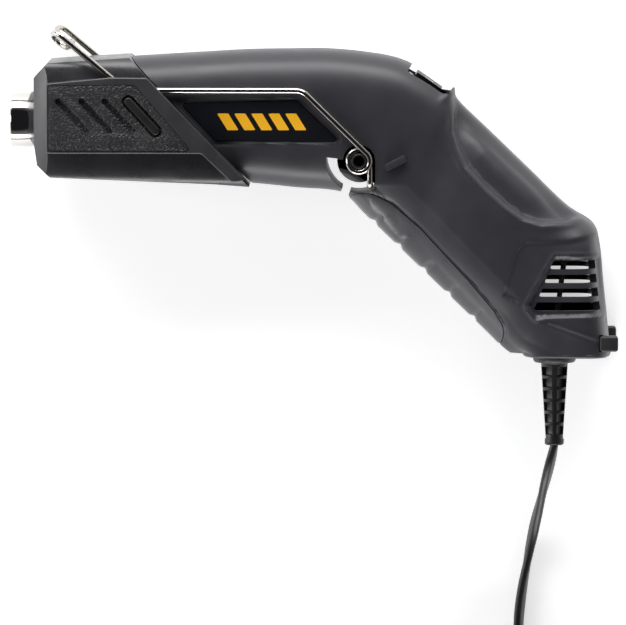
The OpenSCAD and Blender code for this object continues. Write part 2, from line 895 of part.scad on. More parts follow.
/* Fasteners */
module screw(length) {
    cylinder(r = screw_r, h = length);
    difference() {
        translate([0, 0, -1.8]) cylinder(r = head_r, h = 1.8);
        for (a = [0, 90]) rotate([0, 0, a]) translate([-1.5, -0.35, -2]) cube([3, 0.7, 1.2]);
    }
}

module housing_screws() {
    color("silver") seated()
        for (p = screw_places) translate([p[0], p[1], -head_floor]) screw(head_floor + 7);
}

/* Motor and fan */

module motor_can() {
    color([0.62, 0.63, 0.65]) seated() along_handle(motor_s) difference() {
        cylinder(r = motor_d / 2, h = motor_len - 3);
        translate([0, 0, -1]) cylinder(r = shaft_d / 2 + run_gap, h = 4);
        translate([0, 0, 2]) cylinder(r = motor_d / 2 - 1, h = motor_len);
    }
}

module motor_magnets() {
    color([0.35, 0.33, 0.33]) seated() along_handle(motor_s + 4)
        for (a = [0, 180]) rotate([0, 0, a])
            rotate_extrude(angle = 140)
                translate([motor_d / 2 - 3.05, 0]) square([2, motor_len - 12]);
}

module motor_armature() {
    SLOTS = 3;
    radius = motor_d / 2 - 3.5;
    color([0.7, 0.4, 0.2]) seated() along_handle(motor_s + 5) difference() {
        cylinder(r = radius, h = motor_len - 14);
        for (k = [0 : SLOTS - 1])
            rotate([0, 0, k * 360 / SLOTS])
                translate([radius - 3, -1, -1]) cube([5, 2, motor_len]);
        translate([0, 0, -1]) cylinder(r = shaft_d / 2, h = motor_len, $fn = 32);
    }
}

module motor_end_cap() {
    color([0.2, 0.2, 0.22]) seated() along_handle(motor_s + motor_len - 3) difference() {
        cylinder(r = motor_d / 2, h = 3);
        translate([0, 0, -1]) cylinder(r = shaft_d / 2 + run_gap, h = 6);
    }
}

module motor_sleeve() {
    color([0.15, 0.15, 0.15]) seated() along_handle(motor_s + 5) difference() {
        cylinder(r = motor_d / 2 + 2.5, h = 18);
        translate([0, 0, -1]) cylinder(r = motor_d / 2 + 0.05, h = 20);
    }
}

module motor_shaft() {
    color("silver") seated() along_handle(motor_s - 1)
        cylinder(r = shaft_d / 2, h = motor_len + 13, $fn = 32);
}

module fan_wheel() {
    BLADES = 9;
    color([0.85, 0.85, 0.82]) seated() along_handle(motor_s + motor_len + 3.4) difference() {
        union() {
            cylinder(r = 4.5, h = 9);
            cylinder(r = fan_d / 2 - 1, h = 1.2);
            for (k = [0 : BLADES - 1])
                rotate([0, 0, k * 360 / BLADES])
                    translate([3.5, -0.5, 0]) rotate([0, 0, 12])
                        cube([fan_d / 2 - 6, 1, 8]);
        }
        translate([0, 0, -1]) cylinder(r = shaft_d / 2, h = 12, $fn = 32);
    }
}

module fan_shroud() {
    color([0.2, 0.2, 0.22]) seated() along_handle(motor_s + motor_len + 2) difference() {
        cylinder(r = fan_d / 2 + 1.7, h = 12);
        translate([0, 0, -1]) cylinder(r = fan_d / 2 + 0.6, h = 14);
    }
}

/* Electrics */
board_at = hp(20, 9);

module on_board() {
    translate([board_at[0], board_at[1], 0])
        rotate([0, 0, -handle_angle]) rotate([0, 90, 0]) children();
}

module rectifier_board() {
    color([0.15, 0.4, 0.2]) seated() on_board() translate([-7, -4.5, 0]) cube([14, 9, 1.6]);
}

module rectifier_diodes() {
    color([0.1, 0.1, 0.1]) seated() on_board()
        for (x = [-4.8, -1.6, 1.6, 4.8])
            translate([x, -2.6, 2.95]) rotate([-90, 0, 0]) cylinder(r = 1.35, h = 5.2, $fn = 24);
}

// Ring of an oval round point k of a path, across its direction
function path_ring(path, k, half_t, half_w, sides) =
    let (
        a = path[max(k - 1, 0)],
        b = path[min(k + 1, len(path) - 1)],
        along = (b - a) / norm(b - a),
        side = cross([0, 0, 1], along) / norm(cross([0, 0, 1], along)),
        up = cross(along, side)
    )
    [
        for (i = [0 : sides - 1])
            let (q = i * 360 / sides)
            path[k] + side * cos(q) * half_t + up * sin(q) * half_w
    ];

// A closed tube of oval section along a path
module tube(path, half_t, half_w, sides) {
    skin([for (k = [0 : len(path) - 1]) path_ring(path, k, half_t, half_w, sides)]);
}

// The inner end of the cord, and its two leads along the back of the handle
module supply_leads() {
    stub_end = clamp_low + 4;
    color([0.75, 0.75, 0.72]) seated() moulded() {
        tube([[relief_x, base_y + wall + 2.5, 0], [relief_x, stub_end, 0]],
            cord_t / 2, cord_w / 2, 12);
        for (z = [-lead_z, lead_z])
            tube([
                [relief_x, stub_end - 0.6, z / 6], [relief_x + 1, stub_end + 4, z / 2],
                [each hp(80, 14), z], [each hp(75.5, lead_t), z], [each hp(52, lead_t), z],
                [each hp(28, lead_t), z]
            ], lead_r, lead_r, 8);
    }
}

/* Strain relief and cord clamp */
module strain_relief() {
    top_r = 4.7;
    end_r = 2.7;
    ROWS = 6;
    row_pitch = 4.15;
    color([0.13, 0.13, 0.14]) seated() translate([relief_x, base_y, 0]) rotate([90, 0, 0])
        difference() {
            union() {
                translate([0, 0, -wall - 2.4]) cylinder(r = 6.5, h = 2);
                translate([0, 0, -wall - 0.5]) cylinder(r = relief_groove_r, h = wall + 0.6);
                translate([0, 0, 0.1]) cylinder(r1 = 7.8, r2 = 7, h = 2.8);
                translate([0, 0, 2.8]) cylinder(r1 = top_r, r2 = end_r + 0.2, h = relief_len - 2.8);
            }
            // Windows between the rings and the four ribs
            for (k = [0 : ROWS - 1], a = [0 : 90 : 270])
                rotate([0, 0, a + 45])
                    translate([2.3 - 0.1 * k, -1.9 + 0.1 * k, 4.4 + k * row_pitch])
                        cube([6, 3.8 - 0.2 * k, row_pitch - 1.1]);
        }
}

module cord_clamp() {
    color([0.2, 0.2, 0.22]) seated() translate([relief_x, clamp_low, 0]) difference() {
        translate([-3.6, 0, -clamp_screw_z - 2.5]) cube([7.2, 3, 2 * clamp_screw_z + 5]);
        translate([-cord_t / 2 - 0.1, -1, -cord_w / 2 - 0.1])
            cube([cord_t + 0.2, 5, cord_w + 0.2]);
        for (z = [-clamp_screw_z, clamp_screw_z])
            translate([0, 5, z]) rotate([90, 0, 0]) cylinder(r = clamp_screw_r + 0.1, h = 10);
    }
}

module clamp_screws() {
    color("silver") seated()
        for (z = [-clamp_screw_z, clamp_screw_z])
            translate([relief_x, clamp_low + 3, z]) rotate([90, 0, 0]) {
                cylinder(r = clamp_screw_r, h = 7);
                translate([0, 0, -1.2]) cylinder(r = 2, h = 1.2);
            }
}

/* Free cord */
// Where the cord leaves the strain relief, in the model's frame
cord_exit = [relief_x + seat_x, relief_end + seat_y];
// Route of the visible cord: place from its exit, and share of its height at the exit
cord_steps = [
    [0, 0, 1], [-0.6, -3, 0.984], [-1.4, -6.5, 0.938], [-2.4, -11, 0.824], [-3.4, -15.5, 0.679],
    [-4.4, -20, 0.523], [-5.4, -24.5, 0.368], [-6.4, -29, 0.223], [-7.4, -34, 0.098],
    [-8.4, -39, 0.026], [-9.4, -44.5, 0.005], [-10.6, -51, 0], [-11.6, -58, 0], [-12.2, -65, 0],
    [-12, -72, 0], [-10.6, -79, 0], [-7.8, -86, 0], [-3.8, -92.5, 0], [0.2, -98.5, 0]
];
cord_route = [
    for (c = cord_steps)
        [cord_exit[0] + c[0], cord_exit[1] + c[1], cord_w / 2 + c[2] * (half_w - cord_w / 2)]
];
CORD_SIDES = 12;

module cord_tube() {
    color([0.12, 0.12, 0.13]) tube(cord_route, cord_t / 2, cord_w / 2, CORD_SIDES);
}

// The stored cord's coil, which the visible cord runs into
join_a = 32;
cord_end = cord_route[len(cord_route) - 1];
store_at = [cord_end[0] - store_r * cos(join_a), cord_end[1] - store_r * sin(join_a)];
store_layers = 3;
store_rows = 3;
store_half = store_rows * cord_t / 2;

module cord_coil() {
    color([0.12, 0.12, 0.13]) translate([store_at[0], store_at[1], 0])
        rotate_extrude($fn = 96)
            translate([store_r - store_half, 0])
                square([2 * store_half, store_layers * cord_w]);
}

module cord_tie() {
    high = store_layers * cord_w;
    color([0.1, 0.1, 0.1]) translate([store_at[0] - store_r, store_at[1], 0]) difference() {
        translate([-store_half - 1.2, -2.5, 0]) cube([2 * store_half + 2.4, 5, high + 1]);
        translate([-store_half - 0.2, -4, -1]) cube([2 * store_half + 0.4, 8, high + 1]);
    }
}

plug_at = [store_at[0] + store_r + 19, store_at[1], 6.5];

module plug_body() {
    color([0.12, 0.12, 0.13]) translate(plug_at) rotate([0, 0, 100]) hull() {
        translate([0, -11, -6.5]) cube([14, 22, 13]);
        translate([-12, -5, -4]) cube([4, 10, 8]);
    }
}

module plug_blades() {
    color("gold") translate(plug_at) rotate([0, 0, 100])
        for (y = [-6.35, 6.35])
            translate([14, y - 0.75, -3.15]) difference() {
                cube([16.5, 1.5, 6.3]);
                translate([12.5, 3, 3.15]) rotate([90, 0, 0]) cylinder(r = 1.6, h = 5, $fn = 24);
            }
}

left_housing();
right_housing();
front_collar();
nozzle_tube();
left_name_plate();
right_name_plate();
left_grip_pad();
right_grip_pad();
left_rear_foot();
right_rear_foot();
wire_stand();
left_pivot_bush();
right_pivot_bush();
switch_body();
switch_rocker();
switch_terminals();
housing_screws();
motor_can();
motor_end_cap();
motor_sleeve();
motor_magnets();
motor_armature();
motor_shaft();
fan_wheel();
fan_shroud();
rectifier_board();
rectifier_diodes();
heater_holder();
mica_cross();
mica_sleeve();
heating_coil();
thermal_cutout();
supply_leads();
strain_relief();
cord_clamp();
clamp_screws();
cord_tube();
cord_coil();
cord_tie();
plug_body();
plug_blades();
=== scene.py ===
"""Looks of a corded craft heat gun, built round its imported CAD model.

Sizes in this file are in millimetres in the tool's own frame, as in the part's source: x along
the barrel from the nozzle to the rear, y up when the tool is held, z = 0 on the joint between
the two housing halves and +z on the left side. at() turns them into the model's frame.
"""
import math

import bpy
import numpy as np
from mathutils import Matrix, Vector


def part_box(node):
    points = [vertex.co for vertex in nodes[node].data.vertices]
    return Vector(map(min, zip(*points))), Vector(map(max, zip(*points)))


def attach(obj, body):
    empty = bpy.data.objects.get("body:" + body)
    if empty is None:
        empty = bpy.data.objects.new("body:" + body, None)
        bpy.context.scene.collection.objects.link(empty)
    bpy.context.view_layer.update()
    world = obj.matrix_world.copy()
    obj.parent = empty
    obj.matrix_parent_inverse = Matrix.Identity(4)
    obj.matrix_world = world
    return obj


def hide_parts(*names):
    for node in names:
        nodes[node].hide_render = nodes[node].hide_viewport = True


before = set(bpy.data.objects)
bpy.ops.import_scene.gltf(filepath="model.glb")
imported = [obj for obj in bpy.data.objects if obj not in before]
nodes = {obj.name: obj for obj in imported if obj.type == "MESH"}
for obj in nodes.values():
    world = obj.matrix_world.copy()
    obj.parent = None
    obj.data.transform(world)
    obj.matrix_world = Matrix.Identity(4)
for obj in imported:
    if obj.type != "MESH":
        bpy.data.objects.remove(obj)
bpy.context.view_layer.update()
MM = 0.001

# ---- places in the tool's frame

BARREL_H = 49
BARREL_W = 36
HALF_W = 22
BARREL_HALF = BARREL_W / 2
BH = BARREL_H / 2
HT = 25.5
SLOPE = math.radians(44)
ELBOW_X = 21
SEAM_X = -63
COLLAR_FRONT = -97
NOZZLE_TIP = -105.5
REAR_X = 104
BASE_Y = -82
PIVOT = (16.3, -13.3)
RELIEF_X = 84.5
RELIEF_LEN = 32
NOZZLE_R = 9.8
WIRE_R = 1.05
WIRE_Z = 19.5
COIL_R = 3.75
CRANK_R = 9.6
# Slope of the stand's diagonals, in degrees
RISE = 44.3
# Further out than any surface of the tool
FAR = 40

tube_low, tube_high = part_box("nozzle_tube")
SEAT = Vector((
    tube_low.x - NOZZLE_TIP * MM,
    (tube_low.y + tube_high.y) / 2,
    (tube_low.z + tube_high.z) / 2,
))


def at(x, y, z=0.0):
    """A place in the tool's frame, in mm, as a point of the model's frame in metres."""
    return SEAT + Vector((x, y, z)) * MM


def in_handle(s, t):
    """A place s along the handle from the elbow and t towards its back, in the tool's frame."""
    return (
        ELBOW_X + s * math.cos(SLOPE) + t * math.sin(SLOPE),
        t * math.cos(SLOPE) - s * math.sin(SLOPE),
    )


# ---- camera

scene = bpy.context.scene
camera_data = bpy.data.cameras.new("camera")
camera_data.lens = 493
camera_data.sensor_width = 36
camera_data.clip_end = 20
camera = bpy.data.objects.new("camera", camera_data)
scene.collection.objects.link(camera)
# The camera looks down on the lying tool, tipped a little towards its back and its rear
target = at(0, -67.7, 0)
tip, turn = math.radians(5), math.radians(1)
look_back = Vector((math.sin(turn), math.sin(tip), math.cos(tip) * math.cos(turn))).normalized()
camera.location = target + 3.0 * look_back
screen_up = Vector((0, 1, 0))
screen_up = (screen_up - look_back * screen_up.dot(look_back)).normalized()
screen_right = screen_up.cross(look_back)
camera.rotation_mode = "QUATERNION"
camera.rotation_quaternion = Matrix(
    (screen_right, screen_up, look_back)
).transposed().to_quaternion()
scene.camera = camera
scene.view_settings.view_transform = "Standard"

# ---- materials


def linear(code):
    """An sRGB hex colour such as 3c3d40 as linear red, green, blue and alpha."""
    parts = [int(code[i:i + 2], 16) / 255 for i in (0, 2, 4)]
    return [
        c / 12.92 if c <= 0.04045 else ((c + 0.055) / 1.055) ** 2.4 for c in parts
    ] + [1.0]


def add(tree, kind, links=(), **settings):
    """Adds a node with its settings; each link is (input's name, other node, output's name)."""
    node = tree.nodes.new(kind)
    for key, value in settings.items():
        if hasattr(node, key):
            setattr(node, key, value)
        else:
            node.inputs[key.replace("_", " ")].default_value = value
    for name, other, output in links:
        tree.links.new(other.outputs[output], node.inputs[name])
    return node


def finish(name, colour, rough, relief_mm, metallic=0.0, bump=0.0, bump_mm=0.4, ior=1.5,
           coat=0.0, colour_shift=0.12, rough_shift=0.06, wear_mm=9.0):
    """A moulded or metal finish: colour with slow variation, and fine relief of a size in mm."""
    material = bpy.data.materials.new(name)
    material.use_nodes = True
    tree = material.node_tree
    tree.nodes.clear()
    place = add(tree, "ShaderNodeTexCoord")
    # Slow patches, a few millimetres across, of colour and gloss
    patches = add(tree, "ShaderNodeTexNoise", [("Vector", place, "Object")],
                  Scale=1 / (wear_mm * MM), Detail=3.0, Roughness=0.55)
    dark = [c * (1 - colour_shift) for c in linear(colour)[:3]] + [1]
    light = [min(1, c * (1 + colour_shift)) for c in linear(colour)[:3]] + [1]
    ramp = add(tree, "ShaderNodeValToRGB", [("Fac", patches, "Fac")])
    ramp.color_ramp.elements[0].position = 0.3
    ramp.color_ramp.elements[0].color = dark
    ramp.color_ramp.elements[1].position = 0.7
    ramp.color_ramp.elements[1].color = light
    gloss = add(tree, "ShaderNodeMapRange", [("Value", patches, "Fac")],
                From_Min=0.3, From_Max=0.7)
    gloss.inputs["To Min"].default_value = max(0.02, rough - rough_shift)
    gloss.inputs["To Max"].default_value = rough + rough_shift
    shader = add(tree, "ShaderNodeBsdfPrincipled",
                 [("Base Color", ramp, "Color"), ("Roughness", gloss, "Result")],
                 Metallic=metallic)
    shader.inputs["Coat Weight"].default_value = coat
    shader.inputs["Coat Roughness"].default_value = 0.12
    if metallic < 0.5:
        shader.inputs["IOR"].default_value = ior
    if bump:
        grain = add(tree, "ShaderNodeTexNoise", [("Vector", place, "Object")],
                    Scale=1 / (bump_mm * MM), Detail=4.0, Roughness=0.6)
        relief = add(tree, "ShaderNodeBump", [("Height", grain, "Fac")], Strength=bump)
        relief.inputs["Distance"].default_value = relief_mm * MM
        tree.links.new(relief.outputs["Normal"], shader.inputs["Normal"])
    out = add(tree, "ShaderNodeOutputMaterial", [("Surface", shader, "BSDF")])
    out.name = name + "_output"
    return material


# Moulded ABS with a fine spark-eroded grain: soft broad highlights, slightly blue grey
HOUSING = finish("satin_moulded_abs", "35353a", 0.4, 0.03, bump=0.25, bump_mm=0.45, ior=1.53,
                 colour_shift=0.05, rough_shift=0.03)
# The same ABS in black, from a smoother tool: the collar's sleeve and the panels' frames
COLLAR = finish("satin_black_abs", "39393c", 0.3, 0.02, bump=0.2, bump_mm=0.5, ior=1.53)
# Harder black polymer for the grips: smoother than the housing, so it shines more
GRIP = finish("smooth_grip_polymer", "4c4c50", 0.3, 0.02, bump=0.15, bump_mm=0.6, ior=1.5,
              colour_shift=0.05)
# Polished acrylic-faced label: deep black with sharp reflections
PLATE = finish("gloss_black_acrylic", "191a1e", 0.1, 0.01, coat=0.4, colour_shift=0.05,
               rough_shift=0.02)
# Screen-printed ink, flat and dense
MARK = finish("yellow_print_ink", "f7b61e", 0.45, 0.01, colour_shift=0.03, bump=0.1)
# Nickel-chrome plate over drawn tube: nearly a mirror, with faint drawing haze
CHROME = finish("chrome_plated_steel", "dcdad6", 0.07, 0.004, metallic=1.0, bump=0.25,
                bump_mm=1.2, colour_shift=0.02, rough_shift=0.03)
# Plated spring wire, a little duller than the nozzle
WIRE = finish("nickel_plated_wire", "c9c5be", 0.13, 0.01, metallic=1.0, bump=0.2, bump_mm=0.9,
              colour_shift=0.04, rough_shift=0.05)
# Black nylon of the pivot's bush
BUSH = finish("black_nylon", "1b1b1c", 0.42, 0.02, bump=0.2)
# Polished polycarbonate switch: black, fairly shiny
SWITCH = finish("black_polycarbonate", "131315", 0.22, 0.01, bump=0.1, ior=1.58)
# Pad-printed marks on the rocker
WHITE = finish("white_pad_print", "e6e6e4", 0.5, 0.01, colour_shift=0.03, bump=0.1)
# Soft PVC of the strain relief and the plug: matte
RELIEF = finish("black_soft_pvc", "232325", 0.4, 0.03, bump=0.3, bump_mm=0.5)
# Extruded PVC jacket of the cord
CORD = finish("extruded_pvc_jacket", "1f1f21", 0.38, 0.02, bump=0.3, bump_mm=1.5)
# Moulded rubber of the rear feet
RUBBER = finish("moulded_rubber", "252527", 0.5, 0.03, bump=0.4, bump_mm=0.4)
# Zinc plated steel of the screws
ZINC = finish("zinc_plated_steel", "9a9a98", 0.3, 0.02, metallic=1.0, bump=0.3, bump_mm=0.7)
# Inside pieces
DRAWN_STEEL = finish("drawn_motor_steel", "9a9b9c", 0.34, 0.02, metallic=1.0, bump=0.3)
FERRITE = finish("sintered_ferrite", "2b2a2a", 0.7, 0.05, bump=0.5)
WINDING = finish("enamelled_copper", "a5592a", 0.3, 0.1, metallic=0.7, bump=0.6, bump_mm=0.5)
NYLON = finish("natural_nylon", "d6d1c2", 0.45, 0.03, bump=0.2)
INNER = finish("black_inner_abs", "17171a", 0.5, 0.03, bump=0.2)
BOARD = finish("solder_masked_board", "1e5a2c", 0.35, 0.02, bump=0.2)
DIODE = finish("moulded_epoxy", "151516", 0.5, 0.03, bump=0.2)
CERAMIC = finish("fired_ceramic", "d8d2c6", 0.75, 0.08, bump=0.5)
MICA = finish("pressed_mica", "b7a684", 0.45, 0.06, bump=0.5, bump_mm=1.5)
ALLOY = finish("heat_tinted_alloy", "6a6058", 0.4, 0.03, metallic=1.0, bump=0.3)
LEAD = finish("glass_braid_sleeve", "b9b7ad", 0.7, 0.1, bump=0.6, bump_mm=0.6)
BRASS = finish("tinned_brass", "b8a271", 0.3, 0.02, metallic=1.0, bump=0.25)


def grained_panel():
    """Black ABS from a deeply etched tool: grains about 0.7 mm wide that catch small lights."""
    material = finish("etched_black_abs", "2e2e30", 0.36, 0.02, bump=0.2, ior=1.53)
    tree = material.node_tree
    place = add(tree, "ShaderNodeTexCoord")
    grains = add(tree, "ShaderNodeTexVoronoi", [("Vector", place, "Object")],
                 feature="SMOOTH_F1", Scale=1 / (0.8 * MM), Smoothness=0.4)
    fine = add(tree, "ShaderNodeTexNoise", [("Vector", place, "Object")],
               Scale=1 / (0.5 * MM), Detail=2.0)
    height = add(tree, "ShaderNodeMath", [(0, grains, "Distance"), (1, fine, "Fac")],
                 operation="MULTIPLY")
    relief = add(tree, "ShaderNodeBump", [("Height", height, "Value")], Strength=0.9)
    relief.inputs["Distance"].default_value = 0.5 * MM
    shader = next(n for n in tree.nodes if n.type == "BSDF_PRINCIPLED")
    tree.links.new(relief.outputs["Normal"], shader.inputs["Normal"])
    return material


GRAINED = grained_panel()

# ---- ways of making a piece


def deselect():
    if bpy.context.object and bpy.context.object.mode != "OBJECT":
        bpy.ops.object.mode_set(mode="OBJECT")
    bpy.ops.object.select_all(action="DESELECT")


def only(piece):
    deselect()
    piece.select_set(True)
    bpy.context.view_layer.objects.active = piece
    return piece


def new_piece(name):
    """Names the primitive just added and moves its place into its mesh."""
    piece = bpy.context.object
    piece.name = name
    piece.data.name = name
    only(piece)
    bpy.ops.object.transform_apply(location=True, rotation=True, scale=True)
    return piece


def edit_all(piece):
    only(piece)
    bpy.ops.object.mode_set(mode="EDIT")
    bpy.ops.mesh.select_all(action="SELECT")


def outward(piece, merge=1e-6):
    edit_all(piece)
    bpy.ops.mesh.remove_doubles(threshold=merge)
    bpy.ops.mesh.normals_make_consistent(inside=False)
    deselect()
    return piece


def prism(name, corners, move):
    """A face with its corners at these places, extruded by a move, all in metres."""
    deselect()
    bpy.ops.mesh.primitive_circle_add(vertices=len(corners), fill_type="NGON")
    piece = new_piece(name)
    for vertex, corner in zip(piece.data.vertices, corners):
        vertex.co = corner
    edit_all(piece)
    bpy.ops.mesh.extrude_region_move(TRANSFORM_OT_translate={"value": tuple(move)})
    return outward(piece)


def plate(name, outline, low, high):
    """An outline in the side view, from z = low to z = high in mm."""
    return prism(name, [at(x, y, low) for x, y in outline], (0, 0, (high - low) * MM))


def beam(name, outline, low, high):
    """An outline of (y, z) corners, from x = low to x = high in mm."""
    return prism(name, [at(low, y, z) for y, z in outline], ((high - low) * MM, 0, 0))


def modify(piece, kind, **settings):
    """Adds a modifier and applies it."""
    only(piece)
    modifier = piece.modifiers.new(kind.lower(), kind)
    for key, value in settings.items():
        setattr(modifier, key, value)
    bpy.ops.object.modifier_apply(modifier=modifier.name)
    return piece


def soften(piece, width, segments=2, angle=35):
    """Rounds the piece's edges by a bevel of width mm."""
    return modify(piece, "BEVEL", width=width * MM, segments=segments,
                  limit_method="ANGLE", angle_limit=math.radians(angle),
                  harden_normals=False, use_clamp_overlap=True)


def cut(piece, tool, operation="DIFFERENCE", keep=False):
    """Cuts a piece with another one, which is then removed."""
    modify(piece, "BOOLEAN", object=tool, operation=operation, solver="MANIFOLD")
    if not keep:
        bpy.data.objects.remove(tool, do_unlink=True)
    return piece


def done(piece, material, angle=32, replaces=(), body="tool"):
    """Gives a finished piece its material, its shading and its body."""
    only(piece)
    piece.data.materials.clear()
    piece.data.materials.append(material)
    bpy.ops.object.shade_smooth_by_angle(angle=math.radians(angle))
    deselect()
    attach(piece, body)
    if replaces:
        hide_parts(*replaces)
    return piece


def sweep(name, points, radius, sides):
    """A round bar along a line of points in metres, made from a curve."""
    data = bpy.data.curves.new(name, "CURVE")
    data.dimensions = "3D"
    spline = data.splines.new("POLY")
    spline.points.add(len(points) - 1)
    for knot, p in zip(spline.points, points):
        knot.co = (*p, 1)
    data.bevel_depth = radius
    data.bevel_resolution = max(2, sides // 4)
    data.use_fill_caps = True
    piece = bpy.data.objects.new(name, data)
    scene.collection.objects.link(piece)
    only(piece)
    bpy.ops.object.convert(target="MESH")
    return outward(bpy.context.object)


def lathe(name, profile, centre, direction, steps=96):
    """Spins a profile of (along, radius) pairs, in mm, about an axis through centre."""
    axis = Vector(direction).normalized()
    side = axis.orthogonal().normalized()
    deselect()
    bpy.ops.mesh.primitive_circle_add(vertices=len(profile), fill_type="NOTHING")
    piece = new_piece(name)
    for vertex, (along, radius) in zip(piece.data.vertices, profile):
        vertex.co = centre + (axis * along + side * radius) * MM
    edit_all(piece)
    bpy.ops.mesh.spin(steps=steps, angle=2 * math.pi, center=centre, axis=axis)
    return outward(piece, 2e-6)


def rounded(outline, radius, steps=6):
    """Rounds the corners of an outline, in mm."""
    points = [np.array(p, float) for p in outline]
    out = []
    for i, p in enumerate(points):
        a, c = points[i - 1], points[(i + 1) % len(points)]
        to_a, to_c = (a - p) / np.linalg.norm(a - p), (c - p) / np.linalg.norm(c - p)
        half = math.acos(max(-1, min(1, float(to_a @ to_c)))) / 2
        r = radius[i] if isinstance(radius, (list, tuple)) else radius
        reach = min(r / math.tan(half), np.linalg.norm(a - p) * 0.49, np.linalg.norm(c - p) * 0.49)
        for k in range(steps + 1):
            f = k / steps
            out.append(tuple((1 - f) ** 2 * (p + to_a * reach) + 2 * f * (1 - f) * p
                             + f ** 2 * (p + to_c * reach)))
    return out


def grown(outline, amount):
    """Moves an outline outwards by an amount in mm; a negative one draws it in."""
    points = np.array(outline, float)
    ahead = np.roll(points, -1, 0)
    if np.sum(points[:, 0] * ahead[:, 1] - ahead[:, 0] * points[:, 1]) < 0:
        points = points[::-1]
    before, after = points - np.roll(points, 1, 0), np.roll(points, -1, 0) - points

    def normal(d):
        n = np.stack([d[:, 1], -d[:, 0]], 1)
        return n / np.maximum(np.linalg.norm(n, axis=1, keepdims=True), 1e-9)

    n = normal(before) + normal(after)
    n /= np.maximum(np.linalg.norm(n, axis=1, keepdims=True), 1e-9)
    share = np.maximum(np.sum(n * normal(after), 1), 0.4)
    return [tuple(p) for p in points + n * (amount / share)[:, None]]


# ---- free cord

CORD_W = 5.4
CORD_T = 2.8
exit_point = at(RELIEF_X, BASE_Y - RELIEF_LEN)
CORD_STEPS = [
    (0, 0, 1), (-0.6, -3, 0.984), (-1.4, -6.5, 0.938), (-2.4, -11, 0.824), (-3.4, -15.5, 0.679),
    (-4.4, -20, 0.523), (-5.4, -24.5, 0.368), (-6.4, -29, 0.223), (-7.4, -34, 0.098),
    (-8.4, -39, 0.026), (-9.4, -44.5, 0.005), (-10.6, -51, 0), (-11.6, -58, 0), (-12.2, -65, 0),
    (-12, -72, 0), (-10.6, -79, 0), (-7.8, -86, 0), (-3.8, -92.5, 0), (0.2, -98.5, 0),
]
STORE_R = 30.0
JOIN = math.radians(32)
free_line = [
    Vector((
        exit_point.x + dx * MM,
        exit_point.y + dy * MM,
        (CORD_W / 2 + share * (HALF_W - CORD_W / 2)) * MM,
    ))
    for dx, dy, share in CORD_STEPS
]
store_at = free_line[-1] - Vector((math.cos(JOIN), math.sin(JOIN), 0)) * STORE_R * MM
store_at.z = 0


def blend(a, b, c, d, f):
    """The place a share f of the way from b to c on a smooth curve through all four."""
    return b + 0.5 * f * ((c - a) + f * ((2 * a - 5 * b + 4 * c - d) + f * (3 * (b - c) + d - a)))


def smooth_line(points, steps):
    """Points on a smooth curve through the given ones."""
    out = []
    last = len(points) - 1
    for k in range(last):
        near = points[max(k - 1, 0)], points[k], points[k + 1], points[min(k + 2, last)]
        out += [blend(*near, j / steps) for j in range(steps)]
    out.append(points[-1])
    return out


def stored_turns():
    """The stored cord: nine turns in three layers of three."""
    line = []
    # Row and layer of each turn
    order = [(0, 0), (1, 0), (1, 1), (0, 1), (0, 2), (1, 2), (-1, 2), (-1, 1), (-1, 0)]
    steps = 40
    total = len(order)
    for turn in range(total):
        for k in range(steps):
            f = k / steps
            # Each turn keeps its own row, and steps over to the next in its last sixth
            over = min(max((f - 0.84) / 0.16, 0), 1)
            over = over * over * (3 - 2 * over)
            row, layer = order[turn]
            next_row, next_layer = order[min(turn + 1, total - 1)]
            r = STORE_R + 1.02 * CORD_T * (row + (next_row - row) * over)
            z = CORD_W * (0.5 + layer + (next_layer - layer) * over)
            angle = JOIN - 2 * math.pi * f
            line.append(store_at + Vector((r * math.cos(angle), r * math.sin(angle), z)) * MM)
    return line


cord_line = smooth_line(free_line, 4)[:-1] + stored_turns()


def twin_section(angle):
    """Half widths across and along the flat twin cord's section: two round cores side by side."""
    r = CORD_T / 2
    gap = (CORD_W - CORD_T) / 2
    side = gap if math.sin(angle) >= 0 else -gap
    return r * math.cos(angle), side + r * math.sin(angle)


def flat_cord():
    """The cord as a strip of faces: its section stands on edge and turns slowly as it falls."""
    sides = 22
    section = [twin_section(2 * math.pi * (i + 0.5) / sides) for i in range(sides)]
    deselect()
    bpy.ops.mesh.primitive_grid_add(x_subdivisions=len(cord_line) - 1, y_subdivisions=sides)
    piece = new_piece("flat_twin_cord")
    count = len(cord_line)
    columns = []
    for k, p in enumerate(cord_line):
        along = (cord_line[min(k + 1, count - 1)] - cord_line[max(k - 1, 0)]).normalized()
        across = Vector((0, 0, 1)).cross(along).normalized()
        up = along.cross(across)
        lean = 0.35 * math.sin(k * 0.16) * (1 if k < 60 else 0)
        turned = across * math.cos(lean) + up * math.sin(lean)
        upright = up * math.cos(lean) - across * math.sin(lean)
        columns.append([p + (turned * a + upright * b) * MM for a, b in section])
    for j in range(sides + 1):
        for k in range(count):
            piece.data.vertices[j * count + k].co = columns[k][j % sides]
    outward(piece, 1e-6)
    edit_all(piece)
    bpy.ops.mesh.select_all(action="DESELECT")
    bpy.ops.mesh.select_non_manifold()
    bpy.ops.mesh.fill_holes(sides=0)
    return outward(piece)


cord = flat_cord()
done(cord, CORD, 50, ["cord_tube", "cord_coil"])


